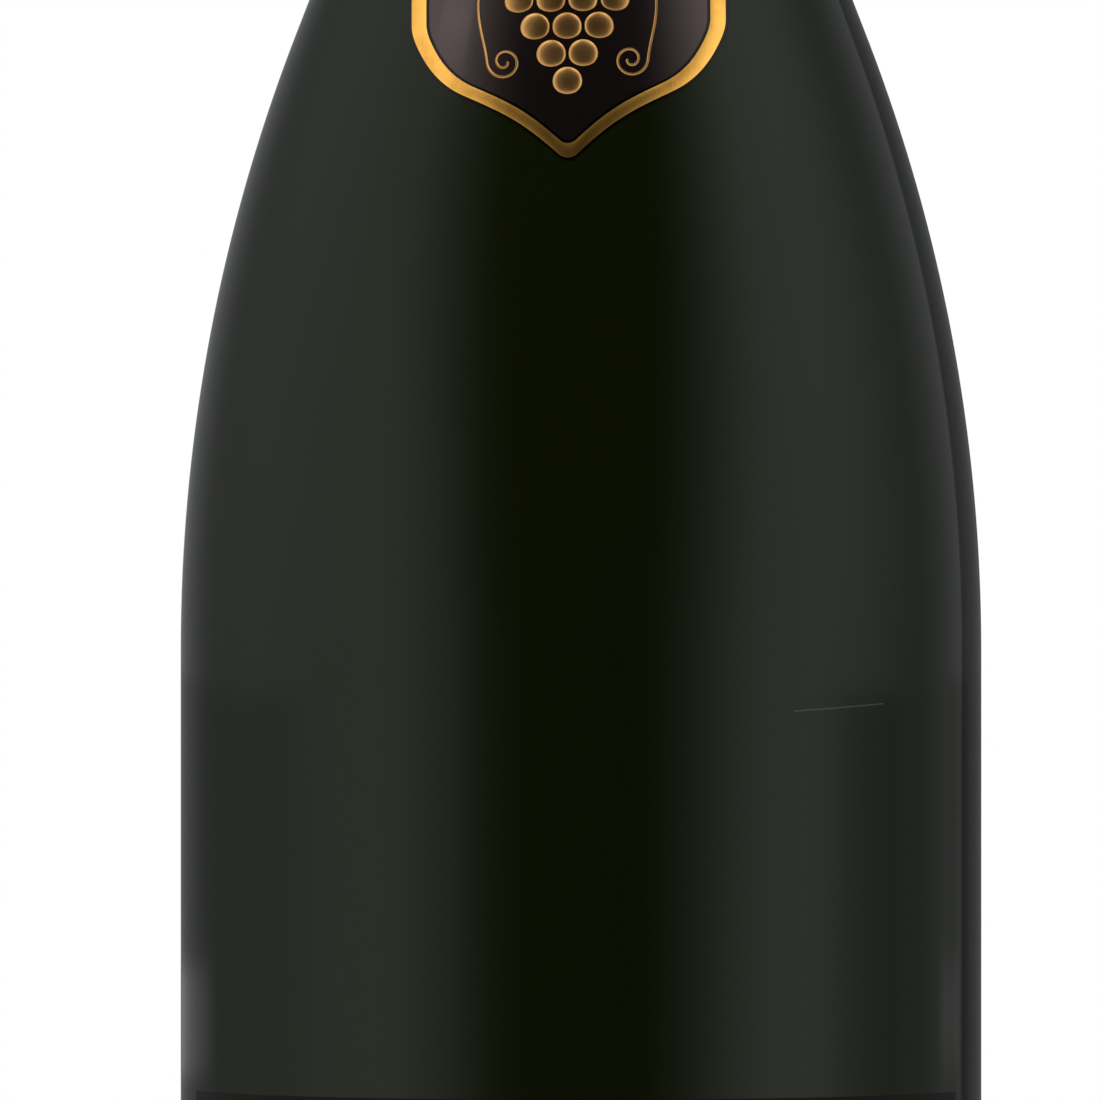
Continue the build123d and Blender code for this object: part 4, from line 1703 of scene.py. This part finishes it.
@dataclass
class GoldStamp:
    """Presses the vine on to a label as raised gold."""

    shop: Workshop
    gold: Material
    old_gold: Material
    place: Place
    scale: float
    vine: Vine = Vine()
    plate: float = 0.07
    plate_rings: int = 7
    grape_rise: float = 0.34
    grape_share: float = 0.98
    line: float = 0.15
    vein: float = 0.11
    rib: float = 0.3
    rib_sunk: float = 0.4
    line_rise: float = 0.35
    shoulder_from: float = 100.0
    shoulder_facing: float = 0.25

    def lift(self, points: Sequence[Point] | np.ndarray, proud: float) -> np.ndarray:
        """Places flat points of the vine on the label."""
        flat = np.asarray(points, float) * self.scale
        return self.place(flat[..., 0], flat[..., 1], proud)

    def plate_mesh(self, outline: np.ndarray, middle: Point) -> Mesh:
        """A thin plate inside an outline that can be seen whole from its middle.

        Args:
            outline: The plate's outline.
            middle: The point that it is seen from.

        Returns:
            The closed mesh.
        """
        share = np.linspace(0, 1, self.plate_rings)[:, None, None]
        flat = (np.array(middle) + share * (outline[None] - np.array(middle))) * self.scale
        # The plate takes the darker bronze: painted shade between the raised lines.
        top = GOLD_LOW + self.plate
        return sheet_mesh("plate", self.place, flat, top, GOLD_LOW, self.old_gold, wrap=True, fan=True)

    def trace(self, points: Sequence[Point] | np.ndarray, wire: float, closed: bool = False) -> Mesh:
        """A raised line along flat points."""
        path = self.lift(points, GOLD_LOW + wire * self.line_rise)
        return self.shop.wind(path, self.gold, wire * self.scale, closed=closed, step=0.25, sides=8)

    def bunch(self) -> Mesh:
        """The grapes, domed and facing out of the label.

        Returns:
            One mesh with all of them.
        """
        grapes = self.vine.grapes()
        sites = self.lift(grapes, GOLD_LOW)
        facing = sites / np.hypot(sites[:, 0], sites[:, 1])[:, None]
        facing[:, 2] = self.shoulder_facing * (sites[:, 2] > self.shoulder_from)
        sizes = np.full(len(grapes), self.vine.grape * self.scale * self.grape_share)
        return self.shop.stud(sites, facing, sizes, self.grape_rise, self.gold, rings=12, segments=28)

    def stalk(self) -> list[Mesh]:
        """The stalk between the leaves.

        Returns:
            Its plate and the raised line on it.
        """
        vine = self.vine
        foot, head = vine.bunch_top - vine.stalk_sunk, vine.bunch_top + vine.stalk_length
        lower, upper = vine.stalk_foot, vine.stalk_head
        corners = [(-lower, foot), (lower, foot), (upper, head), (-upper, head)]
        middle = (0.0, vine.bunch_top + vine.stalk_length / 2)
        line = [(0.0, vine.bunch_top - self.rib_sunk), (0.0, head)]
        return [self.plate_mesh(even_loop(corners, 40), middle), self.trace(line, self.rib)]

    def leaf(self, side: float) -> list[Mesh]:
        """A leaf with its raised edge and veins, and the tendril beside it.

        Args:
            side: -1 for the left leaf and 1 for the right one.

        Returns:
            Its meshes.
        """
        vine = self.vine
        outline = vine.in_leaf(side, vine.leaf_outline(120))
        middle = tuple(vine.in_leaf(side, [(0.0, 0.0)])[0])
        parts = [self.plate_mesh(outline, middle), self.trace(outline, self.line, closed=True)]
        parts += [self.trace(vine.in_leaf(side, run), self.vein) for run in vine.leaf_veins()]
        return [*parts, self.trace(vine.tendril(side), self.line)]

    def build(self, name: str, node: str) -> None:
        """Makes the vine as one piece with a name, which stands for a CAD node."""
        parts = [self.bunch(), *self.stalk(), *self.leaf(-1.0), *self.leaf(1.0)]
        finish_piece(fuse(name, parts), name, Body.BOTTLE, [node])


@dataclass
class NeckLabel:
    """The shield label on the shoulder, stuck on a little crooked, with its gold border and vine."""

    shop: Workshop
    lines: GlassLines
    paper: Material
    gold: Material
    bronze: Material
    old_gold: Material
    half_width: float = 17.55
    height: float = 40.2
    tip_height: float = 161.1
    tilt: float = 1.2
    tip_round: float = 1.5
    ear_drop: float = 1.6
    dip_share: float = 0.955
    lower: tuple[Point, ...] = ((0.0, 0.0), (0.319, 0.116), (0.604, 0.182))
    upper: tuple[Point, ...] = ((0.604, 0.182), (0.712, 0.205), (0.855, 0.257), (0.954, 0.325), (1.0, 0.394))
    tip_slope: float = 0.95
    joint_slope: float = 0.46
    border_inset: float = 0.3
    border_width: float = 1.65
    keyline: float = 0.32
    paper_ease: float = 0.04
    keyline_ease: float = 0.02
    border_crown: float = 0.05
    crown_flatness: float = 0.8
    ear_round: float = 0.25
    peak_round: float = 0.3
    vine_scale: float = 1.0026
    vine_rise: float = 7.638
    around_count: int = 420

    def place(self, across: np.ndarray, up: np.ndarray, proud: np.ndarray | float) -> np.ndarray:
        """Puts flat points, measured from the shield's tip, on the shoulder.

        Args:
            across: Distance to the right of the tip.
            up: Distance above it.
            proud: Distance from the glass.

        Returns:
            The points in space.
        """
        turn = radians(self.tilt)
        right = across * cos(turn) - up * sin(turn)
        high = self.tip_height + across * sin(turn) + up * cos(turn)
        return self.lines.on_front(right, high, proud)

    def outline(self) -> np.ndarray:
        """The shield's outline from its tip, anticlockwise, at even spacing.

        Returns:
            Points across and up.
        """
        size = np.array((self.half_width, self.height))
        lower = spline(np.array(self.lower) * size, (1, self.tip_slope), (1, self.joint_slope), steps=8)
        upper = spline(np.array(self.upper) * size, (1, self.joint_slope), (0, 1), steps=8)
        ear = (self.half_width, self.height - self.ear_drop)
        dip = (self.half_width / 2, self.height * self.dip_share)
        peak = (0.0, self.height)
        top = self.through(ear, dip, peak)
        # The first points would lie within the tip's round.
        half = [p for p in lower if np.hypot(*p) > self.tip_round * 1.2] + upper[1:]
        rim = [*passing(half), *divided(half[-1], ear, steps=10)]
        right = [*rim, (*ear, self.ear_round), *passing(top[1:-1])]
        left = [(-x, y, r) for x, y, r in reversed(right)]
        corners = [(0.0, 0.0, self.tip_round), *right, (*peak, self.peak_round), *left]
        return even_loop(rounded(corners, closed=True, turn_step=6), self.around_count)

    @staticmethod
    def through(start: Point, middle: Point, end: Point) -> list[Point]:
        """The arc through three points.

        Args:
            start: The first point.
            middle: A point between.
            end: The last point.

        Returns:
            Points along it.
        """
        at = np.array((start, middle, end))
        x, y, _ = np.linalg.solve(np.column_stack([2 * at, np.ones(3)]), (at**2).sum(axis=1))
        first, last = (degrees(np.arctan2(v - y, u - x)) for u, v in (start, end))
        sweep = (last - first + 180) % 360 - 180
        return arc((x, y), np.hypot(start[0] - x, start[1] - y), first, first + sweep, steps=20)

    def inset(self, outline: np.ndarray, by: np.ndarray) -> np.ndarray:
        """The outline drawn in by distances, one ring for each."""
        middle = np.array((0.0, self.half_width))
        return middle + (1 - by[:, None, None] / self.half_width) * (outline[None] - middle)

    def build(self) -> None:
        """Makes the paper, the border and the vine."""
        outline = self.outline()
        self.sheet(outline)
        self.border(outline)
        stamp = GoldStamp(self.shop, self.bronze, self.old_gold, self.raised, self.vine_scale)
        stamp.build("shield_gold_vine", "neck_label_vine")

    def sheet(self, outline: np.ndarray) -> None:
        """The paper, printed black beside the gold on both its sides.

        Args:
            outline: The shield's outline.
        """
        inner = self.border_inset + self.border_width
        black_to = inner + self.keyline
        edge = [0.0, self.paper_ease, self.border_inset, self.border_inset + self.keyline_ease]
        edge += [inner - self.keyline_ease, inner, black_to, black_to + self.paper_ease]
        steps = np.array([*edge, *np.linspace(edge[-1], self.half_width, 34)[1:]])[::-1]
        flat = self.inset(outline, steps)
        top = np.full(flat.shape[:2], PAPER_TOP)
        top[-1] = (PAPER_TOP + PAPER_LOW) / 2
        mesh = sheet_mesh("shield", self.place, flat, top, PAPER_LOW, self.paper, wrap=True, fan=True)
        # The print goes by the distance from the edge. The middle's repeated points are one in the mesh.
        black = (steps <= black_to + 1e-6).astype(float)
        rows = np.repeat(black, flat.shape[1])
        kept = np.concatenate([rows[:1], rows[flat.shape[1] :]])
        mesh.attributes.new("keyline", "FLOAT", "POINT").data.foreach_set("value", np.tile(kept, 2))
        finish_piece(mesh, "shield_label_paper", Body.BOTTLE, ["neck_label"])

    def raised(self, across: np.ndarray, up: np.ndarray, proud: np.ndarray | float) -> np.ndarray:
        """Puts the vine's points on the shield, above its tip."""
        return self.place(across, up + self.vine_rise, proud)

    def border(self, outline: np.ndarray) -> None:
        """The gold border: a band pressed up in its middle, all round the shield.

        Args:
            outline: The shield's outline.
        """
        share = np.linspace(0, 1, 13)
        flat = self.inset(outline, self.border_inset + self.border_width * share)[::-1]
        crown = GOLD_EDGE + self.border_crown * np.sin(pi * share) ** self.crown_flatness
        mesh = sheet_mesh("border", self.place, flat, crown[:, None], GOLD_LOW, self.gold, wrap=True)
        finish_piece(mesh, "shield_gold_border", Body.BOTTLE, ["neck_label_border"], crease=50)


@dataclass
class BodyLabels:
    """The front label on the body with its gold frame and vine, and the plain one at the back."""

    shop: Workshop
    lines: GlassLines
    paper: Material
    gold: Material
    bronze: Material
    old_gold: Material
    low: float = 11.0
    high: float = 59.3
    front: float = -90.0
    front_span: float = 140.0
    back: float = 90.0
    back_span: float = 64.0
    frame_round: float = 0.9
    frame_inset: float = 3.0
    frame_width: float = 0.8
    frame_crown: float = 0.1
    frame_count: int = 560
    vine_scale: float = 0.9546
    vine_low: float = 22.592

    def label(self, name: str, node: str, middle: float, span: float) -> None:
        """One wrapped label with eased edges.

        Args:
            name: The piece's name.
            node: The CAD node that it stands for.
            middle: Angle of its middle, in degrees.
            span: The angle that it covers.
        """
        angle = middle + np.linspace(-span / 2, span / 2, round(span) + 1)
        height = np.linspace(self.low, self.high, 26)
        flat = np.stack(np.meshgrid(angle, height, indexing="ij"), axis=-1)
        mesh = sheet_mesh(name, self.lines.around, flat, PAPER_TOP, PAPER_LOW, self.paper)
        finish_piece(mesh, name, Body.BOTTLE, [node])

    def frame_lines(self) -> None:
        """The gold frame as one ring, pressed up in its middle."""
        reach = radians(self.front_span / 2) * self.lines.body_radius - self.frame_inset
        low, high = self.low + self.frame_inset, self.high - self.frame_inset
        ends = (-reach, low), (reach, low), (reach, high), (-reach, high)
        corners = [(x, y, self.frame_round) for x, y in ends]
        centre, half = np.array((0.0, (low + high) / 2)), np.array((reach, (high - low) / 2))
        outer = even_loop(rounded(corners, closed=True), self.frame_count)
        share = np.linspace(0, 1, 7)
        size = 1 - self.frame_width * share[::-1, None] / half
        flat = centre + size[:, None, :] * (outer[None] - centre)
        flat[..., 0] = self.front + np.degrees(flat[..., 0] / self.lines.body_radius)
        crown = GOLD_EDGE + self.frame_crown * np.sin(pi * share)[:, None]
        mesh = sheet_mesh("frame", self.lines.around, flat, crown, GOLD_LOW, self.gold, wrap=True)
        finish_piece(mesh, "body_gold_frame", Body.BOTTLE, ["body_label_frame"], crease=50)

    def raised(self, across: np.ndarray, up: np.ndarray, proud: np.ndarray | float) -> np.ndarray:
        """Puts the vine's points on the body label."""
        return self.lines.on_front(across, up + self.vine_low, proud)

    def build(self) -> None:
        """Makes both labels, the frame and the vine."""
        self.label("body_label_paper", "body_label", self.front, self.front_span)
        self.label("back_label_paper", "back_label", self.back, self.back_span)
        self.frame_lines()
        stamp = GoldStamp(self.shop, self.bronze, self.old_gold, self.raised, self.vine_scale)
        stamp.build("body_gold_vine", "body_label_vine")


# Studio


@dataclass(frozen=True)
class Panel:
    """A soft-edged light surface round the bottle.

    Start and end give the azimuths from the camera over which its sides fade in and out, and rise and
    fall the elevations over which its foot and top do, all in degrees.
    """

    level: float
    sides: tuple[Side, ...]
    start: Point
    end: Point
    rise: Point = (-91.0, -90.0)
    fall: Point = (91.0, 92.0)
    tint: str = "#ffffff"


@dataclass(frozen=True)
class Lamp:
    """A soft lamp that lights the bottle and isn't seen.

    Azimuth is in degrees to the right of the camera and elevation in degrees, distance and size are in
    metres, and power is in watts.
    """

    name: str
    azimuth: float
    elevation: float
    distance: float
    size: float
    power: float


@dataclass
class Studio:
    """The camera, the light surfaces that the gloss shows, two lamps and a pale floor."""

    camera_turn: float = 2.1
    camera_distance: float = 2000.0
    camera_height: float = 119.1
    aim_left: float = 3.4
    frame_width: float = 122.36
    sensor: float = 36.0
    floor_radius: float = 1500.0
    floor_sides: int = 128
    floor_finish: Finish = Finish("Studio floor, matt", "#ebebe9", 0.9, specular=0.2)
    floor_fade: Point = (0.25, 0.92)
    soft_level: float = 0.6
    lamps: tuple[Lamp, ...] = (
        Lamp("key_lamp", azimuth=-50, elevation=55, distance=2.3, size=0.8, power=24.0),
        Lamp("fill_lamp", azimuth=70, elevation=30, distance=2.6, size=1.2, power=8.0),
    )
    lamp_aim: float = 150.0
    lean: float = 0.28
    panels: tuple[Panel, ...] = (
        # The two broad soft sides, and more of the left one low down.
        Panel(0.82, (Side.LEFT,), (12, 62), (72, 140)),
        Panel(0.98, (Side.RIGHT,), (14, 60), (66, 118)),
        Panel(0.17, (Side.LEFT,), (25, 39), (56, 84), fall=(10, 34)),
        # The dimmer walls behind them, and the bright gap at the back that edges the glass.
        Panel(0.24, (Side.LEFT,), (25, 60), (173.5, 174.5), tint="#f6f8ff"),
        Panel(0.32, (Side.RIGHT,), (25, 60), (142.0, 144.5), tint="#f6f8ff"),
        Panel(0.125, (Side.RIGHT,), (142.0, 144.5), (173.5, 174.5), tint="#f6f8ff"),
        Panel(1.00, (Side.LEFT, Side.RIGHT), (173.5, 174.5), (181, 182)),
        # The ceiling, the floor, and a strip that the label's paper catches at its left.
        Panel(1.00, (Side.LEFT, Side.RIGHT), (-1, 0), (190, 191), rise=(48, 60)),
        Panel(0.80, (Side.LEFT, Side.RIGHT), (-1, 0), (190, 191), fall=(-40, -10)),
        Panel(0.90, (Side.LEFT,), (40, 42), (56, 58), rise=(33, 43)),
        # Two pale things on the table catch the flanks low down.
        Panel(0.20, (Side.LEFT,), (128, 140), (166, 173), rise=(-1.72, -1.62), fall=(-1.40, -1.26)),
        Panel(0.15, (Side.RIGHT,), (124, 131), (139, 143), rise=(-1.70, -1.58), fall=(-1.38, -1.24)),
    )
    # The table and what stands on it hide this share of the lower part of the panels.
    shades: tuple[Panel, ...] = (
        Panel(0.22, (Side.LEFT,), (74, 100), (173.5, 174.5), fall=(-0.42, -0.32)),
        Panel(0.37, (Side.RIGHT,), (66, 92), (100, 114), fall=(-0.42, -0.32)),
        Panel(0.10, (Side.RIGHT,), (100, 114), (173.5, 174.5), fall=(-0.42, -0.32)),
        Panel(0.24, (Side.RIGHT,), (129, 137), (147, 153), fall=(-0.42, -0.32)),
    )

    def world(self) -> None:
        """Light surfaces for gloss, an even light for the rest, and white behind for the camera."""
        scene_world = bpy.data.worlds.new("Studio")
        bpy.context.scene.world = scene_world
        scene_world.use_nodes = True
        tree = scene_world.node_tree
        tree.nodes.clear()
        way = add_node(tree, COORDS).outputs["Generated"]
        parts = add_node(tree, "ShaderNodeSeparateXYZ", {0: way})
        ahead = add_node(tree, MATH, {0: parts.outputs["Y"], 1: -1.0}, operation="MULTIPLY")
        turn = add_node(tree, MATH, {0: parts.outputs["X"], 1: ahead}, operation="ARCTAN2")
        azimuth = add_node(tree, MATH, {0: turn, 1: radians(self.camera_turn)}, operation="SUBTRACT")
        degree = add_node(tree, MATH, {0: azimuth}, operation="DEGREES")
        lift = add_node(tree, MATH, {0: parts.outputs["Z"]}, operation="ARCSINE")
        elevation = add_node(tree, MATH, {0: lift}, operation="DEGREES")
        total = add_node(tree, "ShaderNodeCombineXYZ")
        for panel in self.panels:
            colour = tuple(channel * panel.level for channel in srgb(panel.tint)[:3])
            for side in panel.sides:
                added = {0: self.window(tree, degree, elevation, panel, side), 1: colour, 2: total}
                total = add_node(tree, "ShaderNodeVectorMath", added, operation="MULTIPLY_ADD")
        for shade in self.shades:
            hidden = {0: self.window(tree, degree, elevation, shade, *shade.sides), 1: -shade.level, 2: 1.0}
            left = add_node(tree, MATH, hidden, operation="MULTIPLY_ADD")
            total = add_node(tree, "ShaderNodeVectorMath", {0: total, 1: left}, operation="MULTIPLY")
        seen = add_node(tree, "ShaderNodeLightPath").outputs
        behind = {0: seen["Is Camera Ray"], 1: seen["Is Transmission Ray"]}
        white = add_node(tree, MATH, behind, operation="MAXIMUM")
        even = (self.soft_level, self.soft_level, self.soft_level, 1.0)
        lighting = {0: seen["Is Glossy Ray"], MIX_A: even, MIX_B: total}
        soft = add_node(tree, MIX, lighting, data_type="RGBA").outputs[MIX_OUT]
        level = add_node(tree, MIX, {0: white, MIX_A: soft, MIX_B: WHITE}, data_type="RGBA")
        light = add_node(tree, "ShaderNodeBackground", {"Color": level.outputs[MIX_OUT], "Strength": 1.0})
        add_node(tree, "ShaderNodeOutputWorld", {"Surface": light})

    def window(self, tree: NodeTree, degree: Node, elevation: Node, panel: Panel, side: Side) -> Node:
        """Where a panel stands, as 1 inside it and 0 outside.

        Args:
            tree: The world's tree.
            degree: Azimuth from the camera.
            elevation: Elevation.
            panel: The panel.
            side: The side of the camera on which it stands.

        Returns:
            The node that gives the share.
        """
        sided = add_node(tree, MATH, {0: degree, 1: side.value}, operation="MULTIPLY")
        # The panels lean back, so higher up they begin further round.
        leaned = add_node(tree, MATH, {0: elevation, 1: -self.lean, 2: sided}, operation="MULTIPLY_ADD")
        first = self.ramp(tree, leaned, panel.start, 1.0)
        last = self.ramp(tree, leaned, panel.end, -1.0)
        band = add_node(tree, MATH, {0: first, 1: last}, operation="MULTIPLY")
        foot = self.ramp(tree, elevation, panel.rise, 1.0)
        head = self.ramp(tree, elevation, panel.fall, -1.0)
        tall = add_node(tree, MATH, {0: foot, 1: head}, operation="MULTIPLY")
        return add_node(tree, MATH, {0: band, 1: tall}, operation="MULTIPLY")

    def ramp(self, tree: NodeTree, value: Node, ends: Point, way: float) -> Node:
        """A soft edge between two angles.

        Args:
            tree: The world's tree.
            value: The angle that it goes by.
            ends: Where it begins and ends.
            way: Above 0 for a rise from 0 to 1, below 0 for a fall.

        Returns:
            The node that gives the share.
        """
        low, high = (0.0, 1.0) if way > 0 else (1.0, 0.0)
        edges = {"Value": value, "From Min": ends[0], "From Max": ends[1], "To Min": low, "To Max": high}
        return add_node(tree, RANGE, edges, interpolation_type="SMOOTHSTEP")

    def light(self, lamp: Lamp) -> None:
        """Sets up a lamp.

        Args:
            lamp: The lamp.
        """
        turn, rise = radians(lamp.azimuth + self.camera_turn), radians(lamp.elevation)
        away = Vector((sin(turn) * cos(rise), -cos(turn) * cos(rise), sin(rise)))
        data = bpy.data.lights.new(lamp.name, "AREA")
        data.shape, data.size, data.energy = "DISK", lamp.size, lamp.power
        made = bpy.data.objects.new(lamp.name, data)
        made.location = Vector((0, 0, self.lamp_aim * MM)) + away * lamp.distance
        made.rotation_euler = away.to_track_quat("Z", "Y").to_euler()
        made.visible_camera = made.visible_glossy = False
        bpy.context.scene.collection.objects.link(made)

    def floor(self) -> None:
        """A pale disc that fades to white at its rim, and isn't in the way from below."""
        material = self.floor_finish.make()
        tree = material.node_tree
        here = add_node(tree, COORDS).outputs["Object"]
        reach = add_node(tree, "ShaderNodeVectorMath", {0: here}, operation="LENGTH").outputs["Value"]
        near, far = (self.floor_radius * MM * share for share in self.floor_fade)
        fade = {"Value": reach, "From Min": near, "From Max": far}
        rim = add_node(tree, RANGE, fade, interpolation_type="SMOOTHSTEP")
        seen = add_node(tree, "ShaderNodeLightPath").outputs["Is Camera Ray"]
        share = add_node(tree, MATH, {0: rim, 1: seen}, operation="MULTIPLY")
        white = add_node(tree, "ShaderNodeEmission", {"Color": WHITE, "Strength": 1.0})
        faded = add_node(tree, "ShaderNodeMixShader", {0: share, 1: tree.nodes["Principled BSDF"], 2: white})
        clear = add_node(tree, "ShaderNodeBsdfTransparent")
        under = add_node(tree, "ShaderNodeNewGeometry").outputs["Backfacing"]
        both = add_node(tree, "ShaderNodeMixShader", {0: under, 1: faded, 2: clear})
        tree.links.new(both.outputs[0], tree.nodes["Material Output"].inputs["Surface"])
        disc = bmesh.new()
        radius = self.floor_radius * MM
        bmesh.ops.create_circle(disc, cap_ends=True, segments=self.floor_sides, radius=radius)
        mesh = bpy.data.meshes.new("studio_floor")
        disc.to_mesh(mesh)
        disc.free()
        mesh.materials.append(material)
        table = bpy.data.objects.new("studio_floor", mesh)
        bpy.context.scene.collection.objects.link(table)

    def camera(self) -> None:
        """The camera at the photograph's angle: level, from far away, a little to the right."""
        data = bpy.data.cameras.new("camera")
        data.sensor_width = self.sensor
        data.lens = self.sensor * self.camera_distance / self.frame_width
        data.clip_end = 100.0
        made = bpy.data.objects.new("camera", data)
        turn = radians(self.camera_turn)
        stand = Vector((sin(turn), -cos(turn), 0)) * self.camera_distance
        target = Vector((-cos(turn), -sin(turn), 0)) * self.aim_left
        lift = Vector((0, 0, self.camera_height))
        made.location = (stand + lift) * MM
        made.rotation_euler = (target - stand).to_track_quat("-Z", "Y").to_euler()
        bpy.context.scene.collection.objects.link(made)
        bpy.context.scene.camera = made

    def build(self) -> None:
        """Sets up the whole studio."""
        bpy.context.scene.view_settings.view_transform = "Standard"
        self.world()
        for lamp in self.lamps:
            self.light(lamp)
        self.floor()
        self.camera()


def main() -> None:
    """Builds the bottle and its studio."""
    logging.basicConfig(level=logging.INFO, format="%(name)s %(message)s")
    finish = Palette().made()
    shop, lines = Workshop(), GlassLines()
    Studio().build()
    GlassBottle(shop, lines, finish["glass"]).build()
    Stopper(shop, finish["granules"], finish["disc"]).build()
    WireCage(shop, finish["plate"], finish["gold"], finish["wire"]).build()
    FoilCapsule(shop, lines, finish["foil"], finish["strip"], finish["gold"]).build()
    stamps = finish["gold"], finish["bronze"], finish["old_gold"]
    NeckLabel(shop, lines, finish["paper"], *stamps).build()
    BodyLabels(shop, lines, finish["dark_paper"], *stamps).build()
    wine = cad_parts["wine"]
    wine.data.materials.clear()
    wine.data.materials.append(finish["wine"])


if __name__ == "__main__":
    main()
